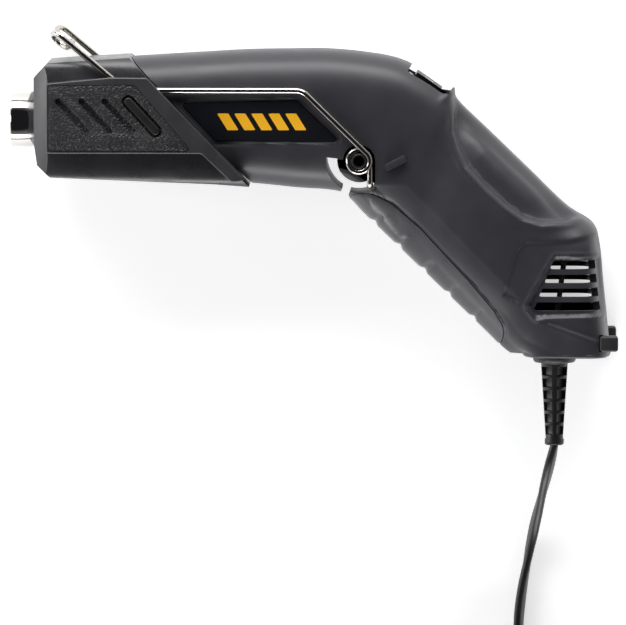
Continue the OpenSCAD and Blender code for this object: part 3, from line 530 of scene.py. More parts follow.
def plug():
    """A moulded two-blade plug with a waist, finger ridges and a short sleeve for the cord."""
    centre = Vector((store_at.x + (STORE_R + 19) * MM, store_at.y, 6.5 * MM))
    turn = math.radians(100)
    ahead = Vector((math.cos(turn), math.sin(turn), 0))
    across = Vector((-math.sin(turn), math.cos(turn), 0))
    deselect()
    bpy.ops.mesh.primitive_cube_add(size=1)
    piece = new_piece("plug_moulding")
    edit_all(piece)
    bpy.ops.mesh.subdivide(number_cuts=11)
    bpy.ops.object.mode_set(mode="OBJECT")
    for vertex in piece.data.vertices:
        u, v, w = vertex.co.x + 0.5, vertex.co.y * 2, vertex.co.z * 2
        width = 5 + 6 * min(1, u * 1.35) ** 0.8 - 1.0 * math.sin(math.pi * min(1, u * 1.1)) ** 4
        thick = 4 + 2.5 * min(1, u * 1.6) ** 0.8
        # Squares the section off with rounded corners
        long = max(abs(v), abs(w), 1e-6)
        round_off = long / max((abs(v) ** 4 + abs(w) ** 4) ** 0.25, 1e-6)
        ridge = 0.35 * (1 if 0.25 < u < 0.7 and int(u * 24) % 2 else 0)
        vertex.co = centre + (
            ahead * (-12 + 26 * u)
            + across * v * round_off * width
            + Vector((0, 0, 1)) * w * round_off * (thick - ridge * (abs(w) > 0.9))
        ) * MM
    outward(piece)
    soften(piece, 0.5, 2, 40)
    return piece


plug_moulding = done(plug(), RELIEF, 40, ["plug_body"])


def tie():
    """Tie round the stored turns: a flat strap with rounded edges."""
    half = 1.5 * CORD_T * 1.05
    high = 3 * CORD_W
    line = rounded([(-half - 0.5, 0.5), (half + 0.5, 0.5), (half + 0.5, high + 0.45),
                    (-half - 0.5, high + 0.45)], 1.6, 5)
    deselect()
    bpy.ops.mesh.primitive_circle_add(vertices=len(line), fill_type="NOTHING")
    piece = new_piece("cord_strap")
    for vertex, (x, z) in zip(piece.data.vertices, line):
        vertex.co = store_at + Vector((-STORE_R + x, -2.5, z)) * MM
    edit_all(piece)
    bpy.ops.mesh.extrude_region_move(TRANSFORM_OT_translate={"value": (0, 5 * MM, 0)})
    outward(piece)
    modify(piece, "SOLIDIFY", thickness=0.9 * MM, offset=0)
    soften(piece, 0.25, 2, 50)
    return outward(piece)


strap = done(tie(), RUBBER, 40, ["cord_tie"])

# ---- the body's surface

# Crown point, belly point, half width and squareness of the body's sections, front to base
STATIONS = [
    (SEAM_X - 3, BH - 2.6, SEAM_X - 3, 4.2 - BH, BARREL_HALF, 3),
    (SEAM_X + 23, BH - 1, SEAM_X + 23, 3 - BH, BARREL_HALF, 3),
    (SEAM_X + 41, BH, SEAM_X + 41, 2.5 - BH, BARREL_HALF, 3),
    (ELBOW_X - 26, BH + 0.3, ELBOW_X - 26, 0.9 - BH, BARREL_HALF, 3),
    (ELBOW_X - 16, BH + 0.3, ELBOW_X - 16.5, 0.3 - BH, BARREL_HALF, 3),
    (ELBOW_X - 4, BH - 0.7, ELBOW_X - 11, -BH - 0.7, BARREL_HALF, 3),
    (ELBOW_X + 8, BH - 2.8, ELBOW_X - 7.5, -BH - 3.3, BARREL_HALF, 3),
    (ELBOW_X + 17, BH - 6.8, *in_handle(20, -HT), BARREL_HALF, 3),
    (ELBOW_X + 26.5, BH - 13, *in_handle(29, -HT), BARREL_HALF, 2.9),
    (*in_handle(17.7, HT), *in_handle(40, -HT), BARREL_HALF, 2.8),
    (*in_handle(32, HT), *in_handle(54.5, -HT), HALF_W - 1.4, 2.8),
    (*in_handle(50, HT), *in_handle(68, -HT), HALF_W, 2.8),
    (*in_handle(69, HT), *in_handle(81, -HT), HALF_W, 3),
    (REAR_X - 6.3, BASE_Y + 46, *in_handle(86.5, -HT), HALF_W, 3.4),
    (REAR_X - 3.8, BASE_Y + 39, REAR_X - 35.3, BASE_Y + 1.1, HALF_W, 3.8),
    (REAR_X - 2.5, BASE_Y + 25.7, REAR_X - 32.8, BASE_Y + 0.3, HALF_W, 4.2),
    (REAR_X - 1.1, BASE_Y + 12.2, REAR_X - 31.5, BASE_Y + 0.05, HALF_W, 4.4),
    (REAR_X, BASE_Y, REAR_X - 30.8, BASE_Y, HALF_W, 4.4),
]
# Lengths along and round half the body, and the rough spacing of its points, in mm
LONG, ROUND = 200, 76.5
FINE = 0.58


def station(u):
    """The section's six numbers at a place u along the list of stations."""
    rows = np.array(STATIONS, float)
    last = len(rows) - 1
    k = min(int(u), last - 1)
    return blend(rows[max(k - 1, 0)], rows[k], rows[k + 1], rows[min(k + 2, last)], u - k)


def half_section(row, columns):
    """Points of the left half of a section, from crown to belly, dense at its two ends."""
    crown, belly, w, n = row[0:2], row[2:4], row[4], row[5]
    a = np.linspace(0, math.pi, 600)
    mid, axis = (crown + belly) / 2, (crown - belly)
    reach = np.linalg.norm(axis) / 2
    axis = axis / (2 * reach)
    along = reach * np.sign(np.cos(a)) * np.abs(np.cos(a)) ** (2 / n)
    out = w * np.abs(np.sin(a)) ** (2 / n)
    run = np.concatenate([[0], np.cumsum(np.hypot(np.diff(along), np.diff(out)))])
    ends = np.array([0, 0.2, 0.4, 0.6, 0.9])
    middle = np.linspace(1.3, run[-1] - 1.3, columns - 10)
    want = np.concatenate([ends, middle, (run[-1] - ends)[::-1]])
    along, out = np.interp(want, run, along), np.interp(want, run, out)
    return np.stack([mid[0] + axis[0] * along, mid[1] + axis[1] * along, out], 1)


def step(value, low, high):
    """Smooth rise from 0 at low to 1 at high."""
    f = np.clip((value - low) / (high - low), 0, 1)
    return f * f * (3 - 2 * f)


def depth_in(x, y, outline):
    """Distance of points inside an outline from its edge; negative outside it."""
    points = np.array(outline, float)
    best = np.full(x.shape, 1e9)
    inside = np.zeros(x.shape, bool)
    for (ax, ay), (bx, by) in zip(points, np.roll(points, -1, 0)):
        dx, dy = bx - ax, by - ay
        f = np.clip(((x - ax) * dx + (y - ay) * dy) / (dx * dx + dy * dy + 1e-12), 0, 1)
        best = np.minimum(best, np.hypot(x - ax - f * dx, y - ay - f * dy))
        crosses = ((ay > y) != (by > y)) & (x < dx * (y - ay) / (dy + 1e-12) + ax)
        inside ^= crosses
    return np.where(inside, best, -best)


# Scoop in the side of the spine, from the ridge line back over the crown
SCOOP = [
    (48.0, 16), (49.4, 6.3), (48.7, -3.2), (50.1, -8.4), (52.9, -14.7), (59.9, -22.4),
    (66.9, -28.7), (73.2, -33.2), (79.5, -35), (88.9, -34.3), (99, -31), (110, -25), (110, 40),
    (60, 40),
]
# Side of the lower handle, below the long crease, and the panel round the vents
LOWER_SIDE = [
    (33, -21), (71.4, -59.5), (74.2, -62.3), (78, -68), (99.4, -77), (110, -82), (110, -100),
    (60, -100), (20, -60), (20, -21),
]
VENT_PANEL = [
    (66, -60), (71, -44), (74.2, -41), (79.5, -41.2), (89, -40.9), (99.4, -38.9), (110, -36.5),
    (110, -80), (99.4, -76), (77.7, -68.3), (74.5, -64),
]
VENT_FIELD = rounded(
    [(74.5, -63.6), (77.6, -67.6), (102.4, -66.8), (100.9, -46.6), (84.2, -46.4)], 1.6, 5)
GRIP_OUTLINE = rounded([
    in_handle(15.5, -HT - 8), in_handle(11.5, -HT + 1.5), in_handle(17, -HT + 7.4),
    in_handle(24, -HT + 9.6), in_handle(38, -HT + 10.4), in_handle(62, -HT + 9.2),
    in_handle(76, -HT + 7.6), in_handle(82, -HT + 6), in_handle(85.6, -HT + 2.5),
    in_handle(87, -HT - 8),
], 6, 6)
PLATE_OUTLINE = rounded([
    (SEAM_X + 17, 6.8), (SEAM_X + 29.2, -6.4), (ELBOW_X - 11, -6.6), (ELBOW_X - 26.3, 7.8),
], 1.4, 5)
DENTS = [25 + 12 * k for k in range(5)]


def relief(x, y, z):
    """How far the surface stands in from the plain body, in mm."""
    d = np.zeros(x.shape)
    side = step(z, 5, 13)
    # Scoop: a rounded shoulder about 3 mm wide, and a hollow that fades towards the crown
    scoop = depth_in(x, y, SCOOP)
    d += side * 2.5 * step(scoop, -0.4, 2.4)
    d -= side * 0.4 * np.exp(-((scoop + 1.3) / 1.1) ** 2)
    d -= 1.2 * step(scoop, 3.5, 12) * step(z, 5, 15)
    # The lower side falls away towards the grip and the base
    lower = depth_in(x, y, LOWER_SIDE)
    d += step(z, 8, 15) * 0.2 * np.clip(lower - 0.1, 0, 9) * step(lower, 0, 1.4)
    # Shallow step down to the vents' panel
    panel = depth_in(x, y, VENT_PANEL)
    d += side * 0.6 * step(panel, -0.1, 0.7)
    # Field of the air slots, and the seat of the name plate
    field = depth_in(x, y, VENT_FIELD)
    d += step(z, 8, 12) * (1.1 * step(field, -0.2, 0.7) - 0.3 * np.exp(-((field + 0.9) / 0.5) ** 2))
    d += step(z, 10, 14) * 0.35 * np.exp(-((depth_in(x, y, PLATE_OUTLINE) + 1.1) / 0.5) ** 2)
    # Rounded edges at the grip's parting line
    grip = depth_in(x, y, GRIP_OUTLINE)
    d += 0.28 * np.exp(-((grip) / 0.42) ** 2)
    # Finger dents across the front of the grip
    s = (x - ELBOW_X) * math.cos(SLOPE) - y * math.sin(SLOPE)
    t = (x - ELBOW_X) * math.sin(SLOPE) + y * math.cos(SLOPE)
    for place in DENTS:
        away = np.abs(s - place) + 0.25 * (t + HT)
        d += 0.95 * np.clip(1 - away / 1.9, 0, 1) * step(t, -HT + 4.4, -HT + 2.6)
    # Lip across the crown behind the switch, and the shoulder in front of it
    d -= 1.15 * np.exp(-((s - 12.3) / 1.5) ** 2) * step(t, 16, 24) * step(z, 16, 9)
    # Rounded edge along the joint between the halves
    d += 0.5 * (1 - step(z, 0, 0.6))
    return d


def body_grid(offset=0.0):
    """The left half's outer surface as rows of points, with its base closed to one point."""
    count = int(LONG / FINE)
    columns = int(ROUND / FINE)
    # Even steps along the body, counted on the line half way between crown and belly
    fine = [station(u) for u in np.linspace(0, len(STATIONS) - 1, 500)]
    middle = np.array([(r[0:2] + r[2:4]) / 2 for r in fine])
    crowns = np.array([r[0:2] for r in fine])
    run = np.concatenate([[0], np.cumsum(
        np.hypot(*np.diff(middle, axis=0).T) + np.hypot(*np.diff(crowns, axis=0).T))])
    places = np.interp(np.linspace(0, run[-1], count), run, np.linspace(0, len(STATIONS) - 1, 500))
    grid = np.array([half_section(station(u), columns) for u in places])
    du = np.gradient(grid, axis=0)
    dv = np.gradient(grid, axis=1)
    normal = np.cross(du, dv)
    normal /= np.maximum(np.linalg.norm(normal, axis=2, keepdims=True), 1e-9)
    centre = (grid[:, :1] + grid[:, -1:]) / 2
    if np.sum(normal * (grid - centre)) < 0:
        normal = -normal
    d = relief(grid[..., 0], grid[..., 1], grid[..., 2]) - offset
    moved = grid - normal * d[..., None]
    moved[:, 0, 2] = moved[:, -1, 2] = 0
    moved[..., 2] = np.maximum(moved[..., 2], 0)
    # Rounded edge of the base, then the base itself
    bottom = moved[-1].copy()
    bottom[:, 1] = BASE_Y
    hub = (bottom[0] + bottom[-1]) / 2
    edge = 1.1
    moved[..., 1] = np.maximum(moved[..., 1], BASE_Y + edge)
    closing = []
    reach = np.linalg.norm(bottom - hub, axis=1, keepdims=True)
    for k in range(1, 6):
        angle = k / 5 * math.pi / 2
        ring = hub + (bottom - hub) * (1 - edge * (1 - math.cos(angle)) / np.maximum(reach, 3))
        ring[:, 1] = BASE_Y + edge * (1 - math.sin(angle))
        closing.append(ring)
    for k in range(1, 12):
        ring = hub + (closing[4] - hub) * (1 - k / 11)
        ring[:, 1] = BASE_Y
        closing.append(ring)
    return np.concatenate([moved, np.array(closing)])


def sheet(name, grid, side=1):
    """A grid of faces shaped to rows of points; side -1 gives the right half."""
    deselect()
    rows, columns = grid.shape[:2]
    bpy.ops.mesh.primitive_grid_add(x_subdivisions=columns - 1, y_subdivisions=rows - 1)
    piece = new_piece(name)
    points = grid.reshape(-1, 3) * (1, 1, side)
    world = np.array(SEAT) + points * MM
    piece.data.vertices.foreach_set("co", world.ravel())
    piece.data.update()
    outward(piece, 2e-6)
    # The left half's faces look to +z on the whole
    if side * sum(f.normal.z * f.area for f in piece.data.polygons) < 0:
        edit_all(piece)
        bpy.ops.mesh.flip_normals()
    deselect()
    return piece


def arc(centre, radius, start, stop, steps=24):
    """Points on an arc, angles in degrees."""
    return [
        (centre[0] + radius * math.cos(math.radians(start + (stop - start) * k / steps)),
         centre[1] + radius * math.sin(math.radians(start + (stop - start) * k / steps)))
        for k in range(steps + 1)
    ]


WALL = 2.2
CRANK_A = -math.degrees(math.acos(COIL_R / CRANK_R))
SWING = 109
SLOT_START = CRANK_A + 10
SLOT_STOP = CRANK_A - SWING - 10
SLOT_IN, SLOT_OUT = CRANK_R - 2, CRANK_R + 2
WELL_FLOOR = WIRE_Z - 3 * WIRE_R - 0.45
SLOT = arc(PIVOT, SLOT_OUT, SLOT_START, SLOT_STOP, 40)
SLOT += arc(PIVOT, SLOT_IN, SLOT_STOP, SLOT_START, 32)
WEDGE = [PIVOT] + arc(PIVOT, 9.6, SLOT_START - 2, SLOT_STOP + 2, 40)
WELL = arc(PIVOT, COIL_R + WIRE_R + 0.8, 0, 360, 48)[:-1]
LEG = [(18.2, -24), (21.9, -24), (21.9, -13.3), (18.2, -13.3)]


def aimed(degrees, places):
    """Corners round the pivot: each place is (along the direction, square to it)."""
    a = math.radians(degrees)
    ahead, aside = np.array([math.cos(a), math.sin(a)]), np.array([-math.sin(a), math.cos(a)])
    return [tuple(np.array(PIVOT) + ahead * f + aside * g) for f, g in places]


def mouth():
    """Way in for the stand's crossbar, from the slot to the underside of the barrel."""
    return aimed(-113, ((SLOT_IN + 1, -1.4), (SLOT_IN + 13, -1.9), (SLOT_IN + 13, 1.9),
                        (SLOT_IN + 1, 1.4)))


def slot_tool(k):
    """Cutter of one air slot, k counted from the lowest."""
    y = BASE_Y + 16.8 + 1.45 + k * 4.8
    left, right = REAR_X - 27.2 + 1.9 * k, REAR_X - 3.6 - 0.45 * k
    return rounded([(left, y - 1.5), (right, y - 1.5), (right, y + 1.5), (left + 1.4, y + 1.5)],
                   0.7, 3)


SCREWS = [
    (SEAM_X + 35, BH - 6), (ELBOW_X - 33, 6 - BH), (ELBOW_X + 1, BH - 7),
    in_handle(44, HT - 8.5), (REAR_X - 36, BASE_Y + 8.5), (REAR_X - 9.5, BASE_Y + 37),
]
SWITCH_AT = (ELBOW_X + 17.7, 10.9)
DOWN = Vector((math.cos(math.radians(35)), -math.sin(math.radians(35)), 0))
OUT = Vector((math.sin(math.radians(35)), math.cos(math.radians(35)), 0))
ACROSS = Vector((0, 0, 1))


def on_switch(x, y, z):
    """A place on the switch: x down its slope, y across the body, z outwards, in mm."""
    return at(*SWITCH_AT) + (DOWN * x + ACROSS * y + OUT * z) * MM


def switch_plate(name, outline, low, high):
    """As plate, on the switch's panel."""
    return prism(name, [on_switch(x, y, low) for x, y in outline], OUT * (high - low) * MM)


def box_outline(half_x, half_y, x=0.0, y=0.0):
    return [(x - half_x, y - half_y), (x + half_x, y - half_y), (x + half_x, y + half_y),
            (x - half_x, y + half_y)]


# The switch's recess in the crown, and the hole in its floor
RECESS = rounded(box_outline(8.4, 11.7), 1.2, 4)
RECESS_HOLE = box_outline(6.5, 9.6)
BODY = body_grid()


def across(side, low, high):
    """Limits across the tool, turned over for its right side."""
    return (low, high) if side > 0 else (-high, -low)


def sided(side, name):
    return ("left_" if side > 0 else "right_") + name


def bore(piece, outline, low, high=FAR, side=1):
    """Cuts an outline into a piece, from low to high across the tool."""
    return cut(piece, plate("cutter", outline, *across(side, low, high)))


def sink(piece, outline, low, high):
    """Cuts an outline into a piece, from low to high outwards from the switch's panel."""
    return cut(piece, switch_plate("cutter", outline, low, high))


def housing(side):
    """One housing half: a shell with its openings and recesses cut into it."""
    piece = sheet(sided(side, "shell"), BODY, side)
    edit_all(piece)
    # The half ends at the slanting seam with the collar
    seam = Vector((134.6, -140, 0)).normalized()
    bpy.ops.mesh.bisect(plane_co=at(SEAM_X, 22), plane_no=Vector((seam.y, -seam.x, 0)),
                        clear_outer=True)
    deselect()
    modify(piece, "SOLIDIFY", thickness=WALL * MM, offset=-1, use_rim=True)
    outward(piece, 1e-7)
    for outline, low in (
        (WELL, WELL_FLOOR), (WEDGE, WELL_FLOOR), (LEG, WELL_FLOOR), (SLOT, -1), (mouth(), -1),
        (grown(PLATE_OUTLINE, 0.15), BARREL_HALF - 0.9),
        (box_outline(3.4, 2.9, REAR_X - 0.8, BASE_Y + 5.3), HALF_W - 5),
    ):
        bore(piece, outline, low, side=side)
    for k in range(4):
        bore(piece, slot_tool(k), HALF_W - 8, side=side)
    sink(piece, RECESS, 0, 20)
    sink(piece, RECESS_HOLE, -20, 3)
    # The grip's seat goes through the shell; the pad's own piece closes it
    bore(piece, grown(GRIP_OUTLINE, 0.12), -1, side=side)
    cut(piece, lathe("cutter", [(-4, 0), (-4, 4.3), (4, 4.3), (4, 0)], at(RELIEF_X, BASE_Y),
                     (0, 1, 0), 40))
    if side < 0:
        for x, y in SCREWS:
            bore(piece, arc((x, y), 2.95, 0, 360, 32)[:-1], 9, side=side)
    return done(piece, HOUSING, 30, [sided(side, "housing")])


housing(1)
housing(-1)

# ---- pivot, well and stop


def capsule(start, stop, radius, steps=10):
    """A bar with round ends, as an outline."""
    a = math.degrees(math.atan2(stop[1] - start[1], stop[0] - start[0]))
    return arc(stop, radius, a - 90, a + 90, steps) + arc(start, radius, a + 90, a + 270, steps)


def solid_body(inset):
    """The whole body as one closed solid, drawn in by inset mm."""
    grid = body_grid(-inset)
    left, right = sheet("left_core", grid, 1), sheet("right_core", grid, -1)
    only(left)
    right.select_set(True)
    bpy.ops.object.join()
    edit_all(left)
    bpy.ops.mesh.remove_doubles(threshold=2e-6)
    bpy.ops.mesh.fill_holes(sides=0)
    bpy.ops.mesh.select_all(action="SELECT")
    bpy.ops.mesh.normals_make_consistent(inside=False)
    deselect()
    return left


core = solid_body(0.35)


def switch_tray():
    """The sunk tray in the crown that the switch snaps into."""
    piece = switch_plate("switch_tray", box_outline(9.9, 13.2), -2, 20)
    cut(piece, core, "INTERSECT", keep=True)
    sink(piece, RECESS, 0, 24)
    sink(piece, RECESS_HOLE, -20, 3)
    done(piece, HOUSING, 30)


def pivot_well(side):
    """The walls and the floor round the stand's coil and slot."""
    low, high = across(side, 0, WELL_FLOOR)
    piece = plate(sided(side, "pivot_well"), arc(PIVOT, SLOT_OUT + 1.8, 0, 360, 64)[:-1], low, high)
    cut(piece, core, "INTERSECT", keep=True)
    for outline in (SLOT, mouth(), arc(PIVOT, 2.1, 0, 360, 32)[:-1]):
        bore(piece, outline, -FAR)
    done(piece, HOUSING, 30)
    lower = -COIL_R - WIRE_R - 2.7
    corners = aimed(180 - RISE - SWING,
                    ((7.2, lower), (15, lower), (15, lower + 2.4), (7.2, lower + 2.4)))
    lug = plate(sided(side, "stop_lug"), rounded(corners, 0.5, 3), *across(side, 14, 20))
    soften(lug, 0.3, 2)
    done(lug, HOUSING)


switch_tray()
pivot_well(1)
pivot_well(-1)
bpy.data.objects.remove(core, do_unlink=True)

# ---- grips, plates and feet

PAD = body_grid(0.1)


def grip_pad(side):
    """Smooth grip let into the front of the handle, with a fine gap all round."""
    piece = sheet(sided(side, "grip"), PAD, side)
    modify(piece, "SOLIDIFY", thickness=1.9 * MM, offset=-1, use_rim=True)
    outward(piece, 1e-7)
    cut(piece, plate("cutter", grown(GRIP_OUTLINE, -0.16), *across(side, -1, FAR)), "INTERSECT")
    done(piece, GRIP, 30, [sided(side, "grip_pad")])


def name_plate(side):
    """Polished plate with a thin raised edge and slanted printed bars."""
    piece = plate(sided(side, "label"), grown(PLATE_OUTLINE, -0.1),
                  *across(side, BARREL_HALF - 0.9, BARREL_HALF + 0.15))
    soften(piece, 0.3, 2)
    done(piece, PLATE, 30, [sided(side, "name_plate")])
    lean = 3.6
    for k in range(5):
        left = ELBOW_X - 54 + 5.9 * k
        bar = plate(sided(side, "label_bar_%d" % (k + 1)),
                    rounded([(left, 3.2), (left + lean, -2.6), (left + lean + 3.9, -2.6),
                             (left + 3.9, 3.2)], 0.35, 3),
                    *across(side, BARREL_HALF + 0.05, BARREL_HALF + 0.22))
        done(bar, MARK)


def rear_foot(side):
    """Rubber foot with well rounded edges, pressed into the base."""
    x, y = REAR_X - 0.8, BASE_Y + 5.3
    piece = plate(sided(side, "foot"), rounded(box_outline(3.2, 2.7, x, y), 1.2, 5),
                  *across(side, HALF_W - 4.9, HALF_W))
    soften(piece, 0.8, 4, 40)
    done(piece, RUBBER, 40, [sided(side, "rear_foot")])


def bush(side):
    """Nylon bush in the stand's coil, open from side to side."""
    profile = [(WELL_FLOOR, 1.9), (WELL_FLOOR, 2.65), (19.9, 2.65), (20.1, 2.5), (20.15, 2.3),
               (20.1, 2.05), (19.85, 1.9)]
    piece = lathe(sided(side, "bush"), profile, at(*PIVOT), (0, 0, side), 48)
    done(piece, BUSH, 40, [sided(side, "pivot_bush")])


for half in (1, -1):
    grip_pad(half)
    name_plate(half)
    rear_foot(half)
    bush(half)

# ---- collar and nozzle

SLEEVE = [
    (COLLAR_FRONT + 5, BH - 4), (COLLAR_FRONT, 15.2), (COLLAR_FRONT, -7.4),
    (COLLAR_FRONT + 1.2, -15.2), (COLLAR_FRONT + 5.8, 5.2 - BH), (SEAM_X + 28.7, 2.8 - BH),
    (SEAM_X + 41, 1.8 - BH), (SEAM_X - 0.6, BH - 2.2),
]
PANEL_FRONT = COLLAR_FRONT + 4.6
PANEL = [
    (PANEL_FRONT, 13.8), (SEAM_X - 7, 15.9), (SEAM_X + 5.6, 15.8), (SEAM_X + 40.3, -20.1),
    (SEAM_X + 35, -20.6), (SEAM_X + 24.5, -10.7), (PANEL_FRONT, -10.7),
]
FIELD = rounded([
    (PANEL_FRONT + 0.7, 13), (SEAM_X + 1.4, 13.4), (SEAM_X + 21.6, -9.9), (PANEL_FRONT + 0.7, -9.9),
], [1.2, 3.5, 1.5, 1.2], 6)
# Room in the collar's flanks for the stand's long runs
RUN_GROOVE = (box_outline(30, 10, SEAM_X + 17, 19.75), 18.02, 20.95)
GROOVE = [(PANEL_FRONT + 4.4 + 8.1 * k, 7.5) for k in range(4)]


def sleeve():
    """The collar's sleeve: rounded, with a chamfered front and a bore for the barrel."""
    piece = plate("collar_sleeve", SLEEVE, -BARREL_HALF, BARREL_HALF)
    section = rounded(box_outline(BH - 0.5, BARREL_HALF), 10, 8)
    cut(piece, beam("cutter", section, COLLAR_FRONT - 2, 20), "INTERSECT")
    w = BARREL_HALF
    plan = [(COLLAR_FRONT, w - 4.5), (COLLAR_FRONT + 5, w), (20, w), (20, -w),
            (COLLAR_FRONT + 5, -w), (COLLAR_FRONT, 4.5 - w)]
    cut(piece, prism("cutter", [at(x, -40, z) for x, z in plan], (0, 80 * MM, 0)), "INTERSECT")
    soften(piece, 0.7, 3, 25)
    cut(piece, beam("cutter", rounded(box_outline(BH - 7.35, BARREL_HALF - 3.85), 8, 6),
                    COLLAR_FRONT + 7.8, 40))
    cut(piece, lathe("cutter", [(-5, 0), (-5, 10.1), (30, 10.1), (30, 0)], at(COLLAR_FRONT, 0),
                     (1, 0, 0), 64))
    for side in (1, -1):
        bore(piece, *RUN_GROOVE, side)
    done(piece, COLLAR, 30, ["front_collar"])


def collar_panel(side):
    """Raised side panel: a smooth frame round an etched field with slanting grooves."""
    outline = rounded(PANEL, [1.5, 1.5, 1.5, 2.5, 2.5, 2, 1.5], 5)
    frame_piece = plate(sided(side, "panel_frame"), outline, *across(side, 13, 22))
    soften(frame_piece, 1.0, 3, 40)
    bore(frame_piece, FIELD, 20.55, 30, side)
    bore(frame_piece, *RUN_GROOVE, side)
    done(frame_piece, COLLAR, 35)
    field = plate(sided(side, "panel_field"), grown(FIELD, -0.05), *across(side, 20.5, 21.92))
    soften(field, 0.3, 2, 40)
    for k, (x, y) in enumerate(GROOVE):
        radius = 2.3 if k == 3 else 1.15
        bore(field, capsule((x, y), (x + 9.4, y - 10.2), radius), 20.8, 30, side)
    soften(field, 0.3, 2, 50)
    done(field, GRAINED, 35)
    # Smooth bar that stands in the last, wider groove. It is a real part, but its darker black
    # nylon colour is partly painted shade for the groove
    x, y = GROOVE[3]
    bar = plate(sided(side, "panel_bar"), capsule((x, y), (x + 9.4, y - 10.2), 1.5),
                *across(side, 20.7, 22))
    soften(bar, 0.7, 4, 40)
    # Painted shade: the darkest black, rather than the collar's own black, darkens the groove round
    # the bar
    done(bar, BUSH, 40)


sleeve()
for half in (1, -1):
    collar_panel(half)


def nozzle():
    """Drawn steel tube with a rolled rim, chrome plated."""
    rim, tip = 0.6, NOZZLE_TIP + 0.6
    back = SEAM_X + 26.9
    r = NOZZLE_R
    profile = [(back, r - 1), (COLLAR_FRONT + 0.6, r - 1), (COLLAR_FRONT - 0.2, r - 0.7),
               (tip + 0.8, r - 0.7)]
    profile += [(tip + rim * math.cos(a), r - rim + rim * math.sin(a))
                for a in np.linspace(-math.pi / 2, -3 * math.pi / 2, 15)]
    profile += [(COLLAR_FRONT - 0.1, r), (COLLAR_FRONT + 0.4, r - 0.4), (back, r - 0.4)]
    piece = lathe("nozzle", profile, at(0, 0), (1, 0, 0), 128)
    done(piece, CHROME, 40, ["nozzle_tube"])


nozzle()

# ---- wire stand

RUN_Y = 11.2
ARM, ARM_LEN = math.radians(140), 28.6
EYE_R, EYE_LEAN = 3.5, math.radians(68)
DIAGONAL = math.radians(RISE)


def bend(a, p, c, reach=2.3, steps=10):
    """Points round a bend of the wire at p, on its way from a to c."""
    a, p, c = (np.array(q, float) for q in (a, p, c))
    start = p + reach * (a - p) / np.linalg.norm(a - p)
    stop = p + reach * (c - p) / np.linalg.norm(c - p)
    return [(1 - f) ** 2 * start + 2 * f * (1 - f) * p + f * f * stop
            for f in np.linspace(0, 1, steps + 1)]


def wire_half():
    """The stand's left half, from the middle of the crossbar to the eye."""
    leg_z = WIRE_Z - 2 * WIRE_R - 0.25
    turn_a = math.pi / 2 - DIAGONAL
    px, py = PIVOT
    coil = []
    for a in np.linspace(0, 2 * math.pi + turn_a, 90):
        climb = min(max((a - turn_a / 2) / (2 * math.pi), 0), 1)
        coil.append((px + COIL_R * math.cos(a), py + COIL_R * math.sin(a),
                     leg_z + climb * (WIRE_Z - leg_z)))
    foot = (px + COIL_R * math.cos(turn_a), py + COIL_R * math.sin(turn_a))
    reach = (RUN_Y - foot[1]) / math.sin(DIAGONAL)
    corner_a = (foot[0] - reach * math.cos(DIAGONAL), RUN_Y, WIRE_Z)
    corner_b = (SEAM_X - 1.6, RUN_Y, WIRE_Z)
    arm_end = (corner_b[0] + ARM_LEN * math.cos(ARM), RUN_Y + ARM_LEN * math.sin(ARM), WIRE_Z)
    crank = math.radians(CRANK_A)
    bar = (px + CRANK_R * math.cos(crank), py + CRANK_R * math.sin(crank))
    eye = []
    for a in np.radians(np.linspace(-90, 178, 48)):
        ahead, aside = EYE_R * math.cos(a), EYE_R * (1 + math.sin(a))
        flat = aside * math.cos(EYE_LEAN)
        eye.append((arm_end[0] + ahead * math.cos(ARM) - flat * math.sin(ARM),
                    arm_end[1] + ahead * math.sin(ARM) + flat * math.cos(ARM),
                    WIRE_Z - aside * math.sin(EYE_LEAN)))
    line = [(*bar, 0)] + bend((*bar, 0), (*bar, leg_z), coil[0]) + coil
    line += bend(coil[-1], corner_a, corner_b) + bend(corner_a, corner_b, arm_end) + eye
    return [np.array(p, float) for p in line]


def wire():
    half_line = wire_half()
    other = [p * (1, 1, -1) for p in half_line[:0:-1]]
    piece = sweep("bent_wire", [at(*p) for p in other + half_line], WIRE_R * MM, 20)
    done(piece, WIRE, 60, ["wire_stand"], "stand")


wire()

# ---- switch


DISH_R = 26
DISH_Y = 28.4


def switch():
    """Snap-in rocker switch with a framed recess and a dished rocker."""
    piece = switch_plate("switch_frame", rounded(box_outline(7.5, 10.5), 1.0, 4), 0, 1.6)
    soften(piece, 0.35, 3, 40)
    cut(piece, switch_plate("cutter", box_outline(6.3, 9.4), -12.5, 0.1), "UNION")
    sink(piece, rounded(box_outline(5.6, 8.8), 0.5, 3), -6.5, 20)
    done(piece, SWITCH, 35, ["switch_body"])
    dish = [(y, DISH_Y - math.sqrt(DISH_R ** 2 - y * y)) for y in np.linspace(7.9, -7.9, 25)]
    outline = [(-7.9, 3.5), (-7, -1.6), (0, -4), (7, -1.6), (7.9, 3.5)] + dish[1:-1]
    rocker = prism("rocker_cap", [on_switch(-5.3, y, z + 0.4) for y, z in outline],
                   DOWN * 10.6 * MM)
    soften(rocker, 0.3, 3, 40)
    pin = lathe("cutter", [(-6.1, 0), (-6.1, 0.9), (6.1, 0.9), (6.1, 0)], on_switch(0, 0, 0.4),
                DOWN, 24)
    cut(rocker, pin, "UNION")
    done(rocker, SWITCH, 35, ["switch_rocker"], "rocker")

    def mark(name, y, half_y, half_x):
        height = 0.4 + DISH_Y - math.sqrt(DISH_R ** 2 - y * y)
        bar = switch_plate(name, rounded(box_outline(half_x, half_y, 0, y), 0.12, 2),
                           height - 0.25, height + 0.07)
        done(bar, WHITE, body="rocker")

    mark("mark_one", 5.0, 0.3, 1.8)
    mark("mark_two_near", -4.5, 0.3, 1.8)
    mark("mark_two_far", -5.7, 0.3, 1.8)
    ring = lathe("mark_off", [(-0.2, 1.15), (-0.2, 1.75), (0.1, 1.75), (0.1, 1.15)],
                 on_switch(0, 0, 2.8), OUT, 40)
    done(ring, WHITE, body="rocker")


switch()

